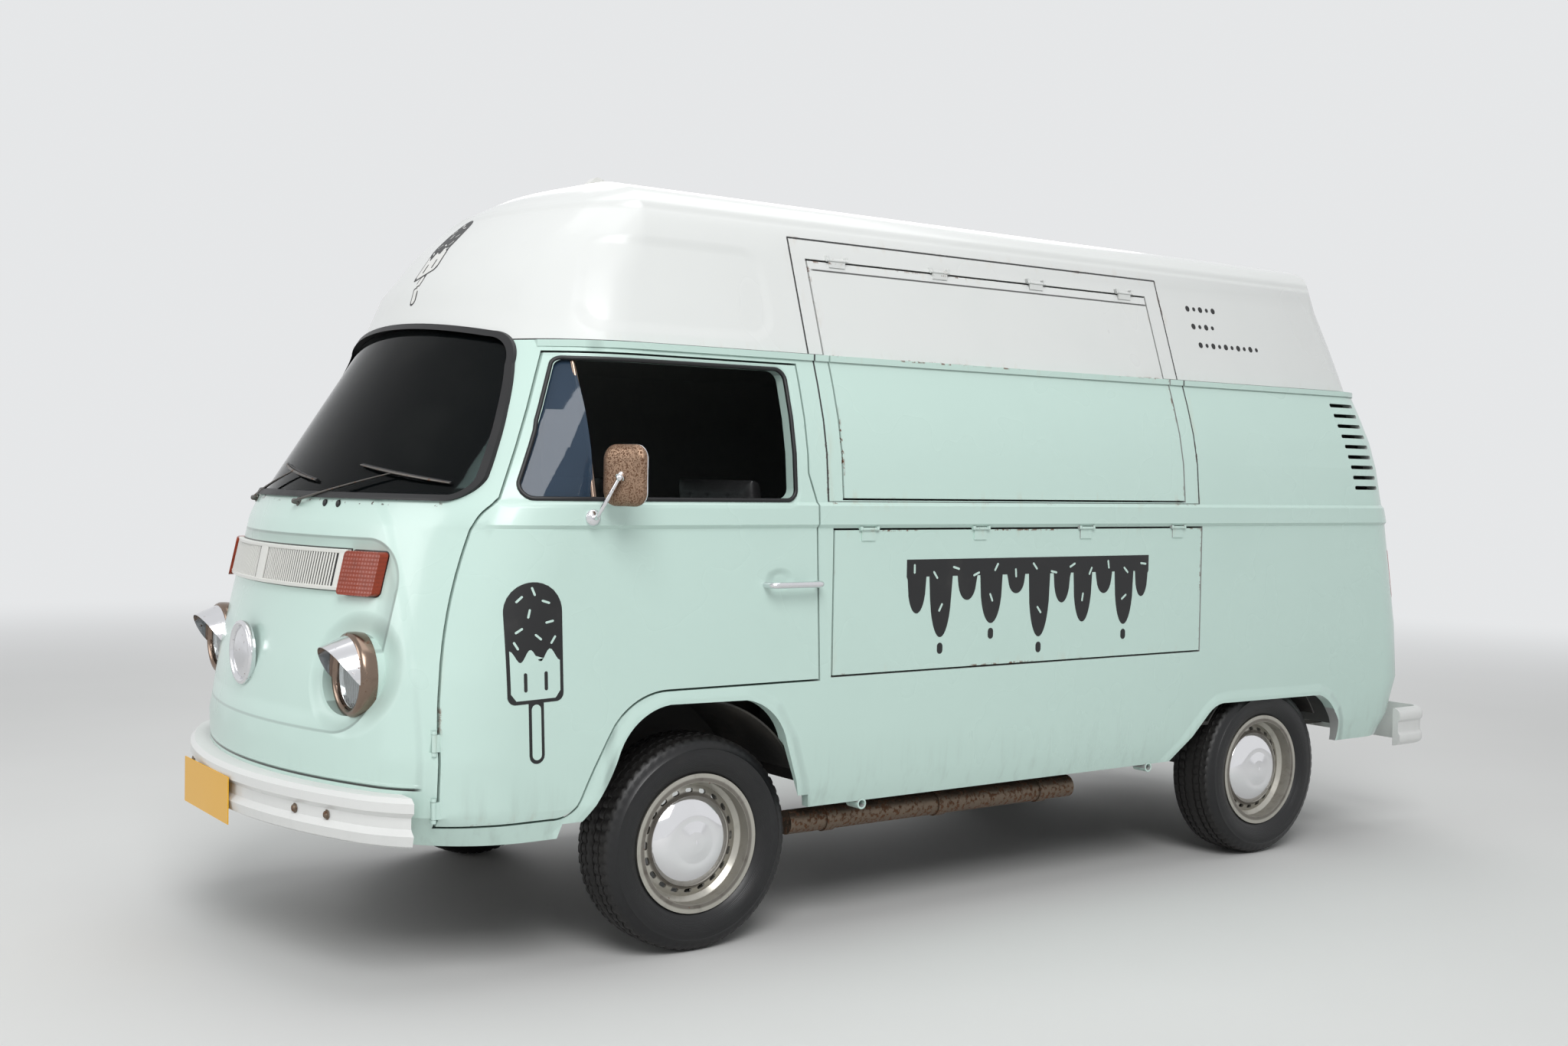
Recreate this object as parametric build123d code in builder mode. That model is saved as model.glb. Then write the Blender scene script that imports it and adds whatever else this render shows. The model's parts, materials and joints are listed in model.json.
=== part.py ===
"""Ice cream truck: a high-roof serving van, built from its panels and running gear.

Millimetres, +Z up, the front at -Y, the vehicle's left side at +X, and the
origin on the ground at mid length.
"""
import os
from collections import namedtuple
from functools import lru_cache
from math import asin, atan2, cos, degrees, pi, sin, sqrt

from build123d import *

os.makedirs("parts", exist_ok=True)

# Driving dimensions of the running gear
WHEELBASE = 2400.0
FRONT_AXLE_Y = -1148.0
REAR_AXLE_Y = FRONT_AXLE_Y + WHEELBASE
FRONT_TRACK = 1395.0
REAR_TRACK = 1455.0
TYRE_R = 304.0
TYRE_HALF = 92.5
TYRE_WALL = 11.0
BEAD_R = 178.0
FLANGE_R = 196.0
RIM_HALF = 76.0
HUB_CAP_R = 127.0
SPINDLE_R = 17.0
KINGPIN_R = 12.0
SHAFT_FIT = 0.05
KINGPIN_INSET = 57.5
STEER_LOCK = 28.0

# Driving dimensions of the body
WALL = 40.0
ROOF_WALL = 30.0
PANEL_GAP = 6.0
SEAT_GAP = 0.3
REAR_BOW = 5000.0
GUTTER_Z = 1690.0
GUTTER_H = 18.0
GUTTER_OUT = 13.0
BELT_LOW = 1188.0
BELT_HIGH = 1262.0
BELT_OUT = 11.0
ROOF_TOP = 2225.0
CROWN_R = 2460.0
SHOULDER_R = 175.0
ROOF_HALF_LOW = 740.0
ROOF_HALF_HIGH = 622.0
SHOULDER_Z = 2045.0
FLOOR_Z = 500.0
FLOOR_T = 12.0
DECK_Z = 862.0
DECK_FRONT_Y = 1330.0
ARCH_SHELL = 6.0
FRONT_ARCH_R = 408.0
FRONT_ARCH_Y = -1205.0
FRONT_ARCH_IN = 436.0
REAR_ARCH_R = 348.0
REAR_ARCH_IN = 590.0
RAIL_X = 330.0
RAIL_W = 60.0
RAIL_LOW = 405.0
OVERALL_FRONT = -2252.5
OVERALL_REAR = 2252.5

# Plan sections of the body: height, half width, front face, front bow radius,
# front corner radius, rear face, rear corner radius
Section = namedtuple("Section", "z half front bow corner rear back")
BODY = [
    Section(378.0, 815.0, -2120.0, 1600.0, 330.0, 2085.0, 200.0),
    Section(460.0, 842.0, -2190.0, 1600.0, 330.0, 2132.0, 220.0),
    Section(600.0, 850.0, -2196.0, 1600.0, 330.0, 2184.0, 230.0),
    Section(800.0, 850.0, -2166.0, 1555.0, 330.0, 2166.0, 230.0),
    Section(BELT_LOW, 850.0, -2086.0, 1440.0, 375.0, 2088.0, 230.0),
    Section(BELT_HIGH, 850.0, -2054.0, 1400.0, 390.0, 2064.0, 230.0),
    Section(1400.0, 838.0, -1966.0, 1330.0, 378.0, 2040.0, 230.0),
    Section(1500.0, 818.0, -1903.0, 1280.0, 368.0, 2020.0, 230.0),
    Section(1600.0, 788.0, -1840.0, 1215.0, 358.0, 1990.0, 230.0),
    Section(GUTTER_Z, 757.0, -1783.0, 1180.0, 350.0, 1962.0, 230.0),
]
ROOF = [
    Section(GUTTER_Z, 742.0, -1783.0, 1180.0, 345.0, 1950.0, 225.0),
    Section(1757.0, 720.0, -1740.0, 1150.0, 335.0, 1938.0, 225.0),
    Section(1870.0, 682.0, -1690.0, 1130.0, 320.0, 1912.0, 220.0),
    Section(1995.0, 641.0, -1590.0, 1110.0, 300.0, 1876.0, 215.0),
    Section(2115.0, 626.0, -1460.0, 1080.0, 290.0, 1832.0, 210.0),
    Section(2180.0, 626.0, -1330.0, 1060.0, 290.0, 1790.0, 210.0),
    Section(2212.0, 626.0, -1210.0, 1040.0, 290.0, 1730.0, 210.0),
    Section(2245.0, 626.0, -960.0, 1040.0, 290.0, 1560.0, 210.0),
]
BELT_STEP = 10.0


def save(piece, name):
    """Label a finished piece and write it under its own name."""
    piece.label = name
    export_step(piece, f"parts/{name}.step")


def bend(section):
    """Give the angle, centre offset and centre place of the front and rear corners."""
    across = section.half - section.corner
    reach = section.bow - section.corner
    lean = asin(across / reach)
    turn = section.front + section.bow - reach * cos(lean)
    across_back = section.half - section.back
    reach_back = REAR_BOW - section.back
    lean_back = asin(across_back / reach_back)
    turn_back = section.rear - REAR_BOW + reach_back * cos(lean_back)
    return across, lean, turn, across_back, lean_back, turn_back


def plan_outline(section, inset):
    """Draw one plan section, moved in by inset, in the open sketch."""
    across, lean, turn, across_back, lean_back, turn_back = bend(section)
    half = section.half - inset
    corner = section.corner - inset
    back = section.back - inset
    bow = section.bow - inset
    rear_bow = REAR_BOW - inset
    front_end = (bow * sin(lean), section.front + section.bow - bow * cos(lean))
    rear_end = (rear_bow * sin(lean_back), section.rear - REAR_BOW + rear_bow * cos(lean_back))
    mid = (lean + pi / 2) / 2
    mid_back = (lean_back + pi / 2) / 2
    front_mid = (across + corner * sin(mid), turn - corner * cos(mid))
    rear_mid = (across_back + back * sin(mid_back), turn_back + back * cos(mid_back))

    def left(point):
        return (-point[0], point[1])

    with BuildLine() as wire:
        ThreePointArc(left(front_end), (0, section.front + inset), front_end)
        ThreePointArc(front_end, front_mid, (half, turn))
        Line((half, turn), (half, turn_back))
        ThreePointArc((half, turn_back), rear_mid, rear_end)
        ThreePointArc(rear_end, (0, section.rear - inset), left(rear_end))
        ThreePointArc(left(rear_end), left(rear_mid), (-half, turn_back))
        Line((-half, turn_back), (-half, turn))
        ThreePointArc((-half, turn), left(front_mid), left(front_end))
    make_face(wire.edges())


def stack(sections, inset):
    """Loft plan sections into one solid, moved in by inset all round."""
    with BuildPart() as hull:
        for section in sections:
            with BuildSketch(Plane.XY.offset(section.z)):
                plan_outline(section, inset)
        loft(ruled=True)
    return hull.part


def at_height(z, sections=BODY):
    """Work out the plan section at a height between two listed ones."""
    for low, high in zip(sections, sections[1:]):
        if low.z <= z <= high.z:
            share = (z - low.z) / (high.z - low.z)
            return Section(*(a + share * (b - a) for a, b in zip(low, high)))
    raise ValueError(f"height {z} is off the body")


def front_at(x, z):
    """Give the y of the body's front face at a place across and up."""
    section = at_height(z)
    across, lean, turn = bend(section)[:3]
    if abs(x) <= section.bow * sin(lean):
        return section.front + section.bow - sqrt(section.bow ** 2 - x ** 2)
    return turn - sqrt(section.corner ** 2 - (abs(x) - across) ** 2)


def side_at(z):
    """Give the x of the body's flat side at a height."""
    return at_height(z).half


BELT = [
    Section(BELT_LOW, *at_height(BELT_LOW)[1:]),
    at_height(BELT_LOW + BELT_STEP)._replace(half=850.0 + BELT_OUT),
    at_height(BELT_HIGH - BELT_STEP)._replace(half=850.0 + BELT_OUT),
    Section(BELT_HIGH, *at_height(BELT_HIGH)[1:]),
]
OUTER = BODY[:4] + BELT + BODY[6:]
SCREEN = BELT + BODY[6:] + [s._replace(half=s.half + 4.0) for s in ROOF[1:3]]


@lru_cache(maxsize=None)
def body_hull(inset):
    """The lower body as a full solid, moved in by inset; plain inside the skin."""
    if inset <= 0:
        return stack(OUTER, inset)
    return stack([BODY[0]._replace(z=300.0)] + BODY[1:], inset)


@lru_cache(maxsize=None)
def screen_hull(inset):
    """The front of the body from the waist to above the windscreen."""
    return stack(SCREEN, inset)


def crown_profile(inset):
    """Draw the roof's cross-section: sloped sides, round shoulders, a wide crown."""
    top = ROOF_TOP - inset
    radius = SHOULDER_R - inset
    crown = CROWN_R - inset
    slope = atan2(ROOF_HALF_LOW - ROOF_HALF_HIGH, SHOULDER_Z - GUTTER_Z)
    low = ROOF_HALF_LOW - inset / cos(slope)
    high = ROOF_HALF_HIGH - inset * cos(slope)
    high_z = SHOULDER_Z - inset * sin(slope)
    centre_x = high - radius * cos(slope)
    centre_z = high_z - radius * sin(slope)
    rise = asin(centre_x / (crown - radius))
    end = (centre_x + radius * sin(rise), centre_z + radius * cos(rise))
    mid_angle = (slope + pi / 2 - rise) / 2
    mid = (centre_x + radius * cos(mid_angle), centre_z + radius * sin(mid_angle))
    with BuildLine() as wire:
        Line((-low, GUTTER_Z), (low, GUTTER_Z))
        Line((low, GUTTER_Z), (high, high_z))
        ThreePointArc((high, high_z), mid, end)
        ThreePointArc(end, (0, top), (-end[0], end[1]))
        ThreePointArc((-end[0], end[1]), (-mid[0], mid[1]), (-high, high_z))
        Line((-high, high_z), (-low, GUTTER_Z))
    make_face(wire.edges())


@lru_cache(maxsize=None)
def roof_hull(inset):
    """The high roof as a full solid: its long crown met with its plan sections."""
    drop = inset * 0.6
    sections = [ROOF[0]] + [s._replace(z=s.z - drop) for s in ROOF[1:]]
    with BuildPart() as crown:
        with BuildSketch(Plane.XZ.offset(-2100)):
            crown_profile(inset)
        extrude(amount=4200)
        add(stack(sections, inset), mode=Mode.INTERSECT)
    return crown.part


def side_prism(outline, side, inner=450.0, outer=1050.0):
    """Extrude an outline in side view through the wall of one side, 1 left or -1 right."""
    start = inner if side > 0 else -outer
    with BuildPart() as prism:
        with BuildSketch(Plane.YZ.offset(start)):
            outline()
        extrude(amount=outer - inner)
    return prism.part


def front_prism(outline, back=-1250.0, front=-2400.0):
    """Extrude an outline in front view through the front wall."""
    with BuildPart() as prism:
        with BuildSketch(Plane.XZ.offset(-back)):
            outline()
        extrude(amount=back - front)
    return prism.part


def rear_prism(outline, front=1650.0, back=2400.0):
    """Extrude an outline in rear view through the rear wall."""
    with BuildPart() as prism:
        with BuildSketch(Plane.XZ.offset(-back)):
            outline()
        extrude(amount=back - front)
    return prism.part


# Outlines of the openings, as (y, z) in side view and (x, z) in front view
DOOR_TOP = 1660.0
DOOR_LOW = 430.0
DOOR_ARCH_Z = 748.0
DOOR_REAR = -786.0


def door_outline(shrink=0.0):
    """The cab door: a wrapped front edge, and the wheel arch cut from its lower corner."""
    with BuildLine() as wire:
        Line((-1596, DOOR_TOP), (-1774, 1268))
        Line((-1774, 1268), (-1806, 1240))
        ThreePointArc((-1806, 1240), (-1833, 1208), (-1850, 1170))
        ThreePointArc((-1850, 1170), (-1907, 960), (-1938, 690))
        Line((-1938, 690), (-1938, DOOR_LOW))
        Line((-1938, DOOR_LOW), (-1640, DOOR_LOW))
        ThreePointArc((-1640, DOOR_LOW), (-1588, 441), (-1552, 483))
        ThreePointArc((-1552, 483), (-1508, 578), (-1460, 665))
        ThreePointArc((-1460, 665), (-1393, 724), (-1300, DOOR_ARCH_Z))
        Line((-1300, DOOR_ARCH_Z), (DOOR_REAR, DOOR_ARCH_Z))
        Line((DOOR_REAR, DOOR_ARCH_Z), (-805, BELT_HIGH))
        Line((-805, BELT_HIGH), (-832, 1345))
        Line((-832, 1345), (-832, DOOR_TOP))
        Line((-832, DOOR_TOP), (-1596, DOOR_TOP))
    make_face(wire.edges())
    if shrink:
        offset(amount=-shrink)


WINDOW_LOW = 1270.0
WINDOW_HIGH = 1636.0
WINDOW_REAR = -886.0
WINDOW_CORNER = 32.0
VENT_BAR_Y = -1530.0
VENT_BAR_W = 16.0


def window_outline(shrink=0.0):
    """The cab door's window."""
    with BuildLine() as wire:
        Polyline(
            (-1574, WINDOW_HIGH), (-1738, WINDOW_LOW), (WINDOW_REAR, WINDOW_LOW),
            (WINDOW_REAR, WINDOW_HIGH), close=True,
        )
    make_face(wire.edges())
    if shrink:
        offset(amount=-shrink)
    fillet(vertices(), WINDOW_CORNER - shrink)


HATCH_FRONT = -715.0
HATCH_REAR = 762.0
HATCH_LOW = 1268.0
HATCH_HIGH = 1985.0
FLAP_FRONT = -748.0
FLAP_REAR = 850.0
FLAP_LOW = 755.0
FLAP_HIGH = BELT_LOW - 1.0


def rectangle_outline(left, right, low, high, shrink=0.0, corner=0.0):
    """An upright rectangle between named edges, with round corners if asked."""
    centre = ((left + right) / 2, (low + high) / 2)
    with Locations(centre):
        if corner:
            RectangleRounded(right - left - 2 * shrink, high - low - 2 * shrink, corner)
        else:
            Rectangle(right - left - 2 * shrink, high - low - 2 * shrink)


TAILGATE_HALF = 590.0
TAILGATE_LOW = 886.0
TAILGATE_HIGH = 1606.0
TAILGATE_CORNER = 60.0
REAR_GLASS_HALF = 470.0
REAR_GLASS_LOW = 1196.0
REAR_GLASS_HIGH = 1530.0
REAR_GLASS_CORNER = 80.0
LID_HALF = 480.0
LID_LOW = 500.0
LID_HIGH = 846.0
LID_CORNER = 50.0


def tailgate_outline(shrink=0.0):
    """The rear door over the engine deck."""
    rectangle_outline(-TAILGATE_HALF, TAILGATE_HALF, TAILGATE_LOW, TAILGATE_HIGH,
                      shrink, TAILGATE_CORNER - shrink)


def rear_glass_outline(shrink=0.0):
    """The window in the rear door."""
    rectangle_outline(-REAR_GLASS_HALF, REAR_GLASS_HALF, REAR_GLASS_LOW, REAR_GLASS_HIGH,
                      shrink, REAR_GLASS_CORNER - shrink)


def lid_outline(shrink=0.0):
    """The engine lid under the rear door."""
    rectangle_outline(-LID_HALF, LID_HALF, LID_LOW, LID_HIGH, shrink, LID_CORNER - shrink)


def hatch_outline(shrink=0.0):
    """The serving hatch, from the waist through the gutter into the high roof."""
    rectangle_outline(HATCH_FRONT, HATCH_REAR, HATCH_LOW, HATCH_HIGH, shrink)


def flap_outline(shrink=0.0):
    """The counter flap under the serving hatch."""
    rectangle_outline(FLAP_FRONT, FLAP_REAR, FLAP_LOW, FLAP_HIGH, shrink)


SCREEN_LOW = 1264.0
SCREEN_TOP = 1750.0


def screen_outline(shrink=0.0):
    """The windscreen's opening: straight base, leaned sides, a bowed top."""
    with BuildLine() as wire:
        Line((-684, SCREEN_LOW), (684, SCREEN_LOW))
        ThreePointArc((684, SCREEN_LOW), (719, 1280), (732, 1318))
        ThreePointArc((732, 1318), (684, 1476), (612, 1622))
        ThreePointArc((612, 1622), (569, 1683), (494, 1711))
        ThreePointArc((494, 1711), (0, SCREEN_TOP), (-494, 1711))
        ThreePointArc((-494, 1711), (-569, 1683), (-612, 1622))
        ThreePointArc((-612, 1622), (-684, 1476), (-732, 1318))
        ThreePointArc((-732, 1318), (-719, 1280), (-684, SCREEN_LOW))
    make_face(wire.edges())
    if shrink:
        offset(amount=-shrink)


def front_arch_outline():
    """The front wheel opening: a flat top on two curved legs, open below."""
    with BuildLine() as wire:
        Line((-1600, 350), (-1600, 365))
        ThreePointArc((-1600, 365), (-1503, 471), (-1443, 598))
        ThreePointArc((-1443, 598), (-1385, 674), (-1290, 712))
        Line((-1290, 712), (-1040, 708))
        ThreePointArc((-1040, 708), (-950, 665), (-900, 580))
        Line((-900, 580), (-830, 380))
        Line((-830, 380), (-830, 350))
        Line((-830, 350), (-1600, 350))
    make_face(wire.edges())


def rear_arch_outline():
    """The rear wheel opening: a low flat top with sloped ends, open below."""
    with BuildLine() as wire:
        Line((725, 350), (737, 369))
        Line((737, 369), (911, 534))
        ThreePointArc((911, 534), (952, 560), (1005, 567))
        Line((1005, 567), (1524, 562))
        ThreePointArc((1524, 562), (1575, 540), (1624, 492))
        ThreePointArc((1624, 492), (1656, 440), (1667, 381))
        Line((1667, 381), (1667, 350))
        Line((1667, 350), (725, 350))
    make_face(wire.edges())


# Hinge units: a pin between two lugs on the fixed part, and a barrel with a leaf on the
# moving one. Heights and depths are from the pin's axis: out is away from the skin, and
# up is from the moving panel to the fixed wall.
Hinge = namedtuple(
    "Hinge", "length pin barrel leaf_in leaf_out leaf_low leaf_high lug_in lug_out lug_low lug_high")
LUG_T = 9.0
LUG_GAP = 1.0
HINGE_ROOM = 3.5
HATCH_HINGE = Hinge(60.0, 3.0, 5.0, -4.5, 2.0, -22.0, 0.0, -14.0, 2.0, 0.0, 12.0)
FLAP_HINGE = Hinge(50.0, 2.5, 4.5, -7.0, -2.0, -34.0, -1.0, -7.0, 4.0, 0.0, 8.0)
TAIL_HINGE = Hinge(70.0, 3.5, 6.0, -14.0, 3.0, -26.0, -1.0, -22.0, 2.0, 0.0, 16.0)
LID_HINGE = Hinge(60.0, 3.5, 6.0, -16.0, -3.0, -30.0, -2.0, -24.0, 2.0, 0.0, 16.0)
DOOR_HINGE = Hinge(44.0, 4.0, 6.5, -3.0, 4.0, -28.0, -2.0, -18.0, 0.0, -5.0, 5.0)

HATCH_AXIS = (650.0, 1987.0)
HATCH_HINGE_Y = (-600.0, -190.0, 230.0, 650.0)
FLAP_AXIS = (856.0, 1184.0)
FLAP_HINGE_Y = (-620.0, -180.0, 280.0, 720.0)
TAIL_AXIS = (1992.0, 1604.0)
TAIL_HINGE_X = (-280.0, 280.0)
LID_AXIS = (2166.0, 845.0)
LID_HINGE_X = (-250.0, 250.0)
DOOR_AXIS = (788.0, -1946.0)
DOOR_HINGE_Z = (480.0, 650.0)


def hinge_places(panel, side=1):
    """The planes of a panel's hinge units: x along the pin, y out, z towards the wall."""
    if panel == "hatch":
        return [Plane((HATCH_AXIS[0], y, HATCH_AXIS[1]), x_dir=(0, -1, 0)) for y in HATCH_HINGE_Y]
    if panel == "flap":
        return [Plane((FLAP_AXIS[0], y, FLAP_AXIS[1]), x_dir=(0, -1, 0)) for y in FLAP_HINGE_Y]
    if panel == "tailgate":
        return [Plane((x, TAIL_AXIS[0], TAIL_AXIS[1]), x_dir=(1, 0, 0)) for x in TAIL_HINGE_X]
    if panel == "lid":
        return [Plane((x, LID_AXIS[0], LID_AXIS[1]), x_dir=(1, 0, 0)) for x in LID_HINGE_X]
    return [
        Plane((side * DOOR_AXIS[0], DOOR_AXIS[1], z), x_dir=(0, 0, -side), z_dir=(0, -1, 0))
        for z in DOOR_HINGE_Z
    ]


def bar(plane, radius, start, end):
    """A round bar along a hinge plane's x."""
    with BuildPart() as rod:
        with BuildSketch(Plane(plane.origin, x_dir=plane.y_dir, z_dir=plane.x_dir).offset(start)):
            Circle(radius)
        extrude(amount=end - start)
    return rod.part


def block(plane, x0, x1, y0, y1, z0, z1):
    """A block between two corners in a hinge plane's own directions."""
    with BuildPart() as cube:
        with BuildSketch(plane.offset(z0)):
            with Locations(((x0 + x1) / 2, (y0 + y1) / 2)):
                Rectangle(x1 - x0, y1 - y0)
        extrude(amount=z1 - z0)
    return cube.part


def add_lugs(hinge, planes):
    """Add the fixed half of each unit to the part being built."""
    half = hinge.length / 2 + LUG_GAP
    for plane in planes:
        add(bar(plane, hinge.pin, -half - LUG_T, half + LUG_T))
        for start in (-half - LUG_T, half):
            add(bar(plane, hinge.barrel, start, start + LUG_T))
            add(block(plane, start, start + LUG_T, hinge.lug_in, hinge.lug_out,
                      hinge.lug_low, hinge.lug_high))


def add_barrels(hinge, planes):
    """Add the moving half of each unit to the panel being built."""
    half = hinge.length / 2
    for plane in planes:
        add(bar(plane, hinge.barrel, -half, half))
        add(block(plane, -half, half, hinge.leaf_in, hinge.leaf_out,
                  hinge.leaf_low, hinge.leaf_high))
        add(bar(plane, hinge.pin + SHAFT_FIT, -half - 1, half + 1), mode=Mode.SUBTRACT)


# Body shell
with BuildPart() as ring:
    add(body_hull(0.0))
    add(body_hull(WALL), mode=Mode.SUBTRACT)

with BuildPart() as roof_ring:
    add(roof_hull(0.0))
    add(roof_hull(ROOF_WALL), mode=Mode.SUBTRACT)

GUTTER_FRONT = -1600.0
GUTTER_REAR = 1858.0
with BuildPart() as gutter:
    with BuildSketch(Plane.XY.offset(GUTTER_Z - GUTTER_H)):
        plan_outline(at_height(GUTTER_Z), -GUTTER_OUT)
    extrude(amount=GUTTER_H)
    add(body_hull(0.0), mode=Mode.SUBTRACT)
    with Locations((0, (GUTTER_FRONT + GUTTER_REAR) / 2, GUTTER_Z)):
        Box(2000, GUTTER_REAR - GUTTER_FRONT, 100, mode=Mode.INTERSECT)

VENT_ROWS = 9
VENT_SLOT_H = 14.0
VENT_TOP_Z = 1635.0
VENT_LOW_Z = 1328.0
VENT_TOP_Y = 1710.0
VENT_LOW_Y = 1784.0
VENT_LENGTH = 150.0
VENT_DEPTH = 14.0
CUT_X0 = 560.0


def vent_outline():
    """Nine level slots, stepped to the rear as they go down."""
    for row in range(VENT_ROWS):
        share = row / (VENT_ROWS - 1)
        y = VENT_TOP_Y + share * (VENT_LOW_Y - VENT_TOP_Y)
        z = VENT_TOP_Z + share * (VENT_LOW_Z - VENT_TOP_Z)
        with Locations((y, z)):
            SlotOverall(VENT_LENGTH, VENT_SLOT_H)


LAMP_X = 540.0
LAMP_Z = 803.0
LAMP_R = 104.0
LAMP_Y = front_at(LAMP_X, LAMP_Z)
LAMP_DEPTH = 30.0
BUCKET_T = 5.0
# Jack sockets: round tubes under the sills, open outwards
JACK_Y = (-600.0, 640.0)
JACK_X = 790.0
JACK_Z = 368.0
JACK_R = 11.0
JACK_OUT_R = 16.0
JACK_LENGTH = 56.0
SCREEN_HOLE = front_prism(screen_outline, back=-1300.0)
HATCH_HOLE = side_prism(hatch_outline, 1)

# Hinge lugs and jack sockets of the shell, with the room round the door hinges
with BuildPart() as shell_lugs:
    add_lugs(FLAP_HINGE, hinge_places("flap"))
    add_lugs(TAIL_HINGE, hinge_places("tailgate"))
    add_lugs(LID_HINGE, hinge_places("lid"))
    for side in (1, -1):
        add_lugs(DOOR_HINGE, hinge_places("door", side))
        for y in JACK_Y:
            with Locations(Location((side * JACK_X, y, JACK_Z), (0, 90, 0))):
                Cylinder(JACK_OUT_R, JACK_LENGTH)

with BuildPart() as jack_bores:
    for side in (1, -1):
        for y in JACK_Y:
            with Locations(Location((side * JACK_X, y, JACK_Z), (0, 90, 0))):
                Cylinder(JACK_R, JACK_LENGTH)

with BuildPart() as hinge_rooms:
    half = DOOR_HINGE.length / 2 + LUG_GAP
    room = DOOR_HINGE.barrel + HINGE_ROOM
    for side in (1, -1):
        for plane in hinge_places("door", side):
            add(block(plane, -half, half, -room, 2 * room, -room, room))

with BuildPart() as body_shell:
    add(ring.part)
    add(gutter.part)
    for side in (1, -1):
        add(side_prism(door_outline, side), mode=Mode.SUBTRACT)
        add(side_prism(front_arch_outline, side), mode=Mode.SUBTRACT)
        add(side_prism(rear_arch_outline, side), mode=Mode.SUBTRACT)
        add(side_prism(vent_outline, side, inner=640.0, outer=1000.0), mode=Mode.SUBTRACT)
        wheel_room = [
            (FRONT_ARCH_Y, FRONT_ARCH_R + ARCH_SHELL + SEAT_GAP, 828.0),
            (REAR_AXLE_Y, REAR_ARCH_R + ARCH_SHELL + SEAT_GAP, 834.0),
        ]
        for centre_y, radius, outer in wheel_room:
            with BuildSketch(Plane.YZ.offset(side * CUT_X0)) as room:
                with Locations((centre_y, TYRE_R)):
                    Circle(radius)
            extrude(amount=side * (outer - CUT_X0), mode=Mode.SUBTRACT)
        with BuildSketch(Plane.XZ.offset(-LAMP_Y + 6)):
            with Locations((side * LAMP_X, LAMP_Z)):
                Circle(LAMP_R + BUCKET_T)
        extrude(amount=-WALL - LAMP_DEPTH)
        with BuildSketch(Plane.XZ.offset(-LAMP_Y - LAMP_DEPTH)):
            with Locations((side * LAMP_X, LAMP_Z)):
                Circle(LAMP_R + 1)
        extrude(amount=300, mode=Mode.SUBTRACT)
    add(HATCH_HOLE, mode=Mode.SUBTRACT)
    add(side_prism(flap_outline, 1), mode=Mode.SUBTRACT)
    add(SCREEN_HOLE, mode=Mode.SUBTRACT)
    add(rear_prism(tailgate_outline), mode=Mode.SUBTRACT)
    add(rear_prism(lid_outline), mode=Mode.SUBTRACT)
    add(hinge_rooms.part, mode=Mode.SUBTRACT)
    add(shell_lugs.part)
    add(jack_bores.part, mode=Mode.SUBTRACT)
save(body_shell.part, "body_shell")

with BuildPart() as high_roof:
    add(roof_ring.part)
    add(SCREEN_HOLE, mode=Mode.SUBTRACT)
    add(HATCH_HOLE, mode=Mode.SUBTRACT)
    add_lugs(HATCH_HINGE, hinge_places("hatch"))
save(high_roof.part, "high_roof")

# Serving hatch and counter flap, left side
with BuildPart() as serving_hatch:
    add(ring.part)
    add(gutter.part)
    add(roof_ring.part)
    add(side_prism(lambda: hatch_outline(PANEL_GAP), 1), mode=Mode.INTERSECT)
    add_barrels(HATCH_HINGE, hinge_places("hatch"))
save(serving_hatch.part, "serving_hatch")

with BuildPart() as counter_flap:
    add(ring.part)
    add(side_prism(lambda: flap_outline(PANEL_GAP), 1), mode=Mode.INTERSECT)
    add_barrels(FLAP_HINGE, hinge_places("flap"))
save(counter_flap.part, "counter_flap")

# Tailgate, its glass, and the engine lid
with BuildPart() as tailgate:
    add(ring.part)
    add(rear_prism(lambda: tailgate_outline(PANEL_GAP)), mode=Mode.INTERSECT)
    add(rear_prism(rear_glass_outline), mode=Mode.SUBTRACT)
    add_barrels(TAIL_HINGE, hinge_places("tailgate"))
save(tailgate.part, "tailgate")

GLASS_SET = 12.0
GLASS_T = 6.0
with BuildPart() as tailgate_glass:
    add(body_hull(-GLASS_SET + 2 * GLASS_SET))
    add(body_hull(GLASS_SET + GLASS_T), mode=Mode.SUBTRACT)
    add(rear_prism(lambda: rear_glass_outline(SEAT_GAP)), mode=Mode.INTERSECT)
save(tailgate_glass.part, "tailgate_glass")

with BuildPart() as engine_lid:
    add(ring.part)
    add(rear_prism(lambda: lid_outline(PANEL_GAP)), mode=Mode.INTERSECT)
    add_barrels(LID_HINGE, hinge_places("lid"))
save(engine_lid.part, "engine_lid")

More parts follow.
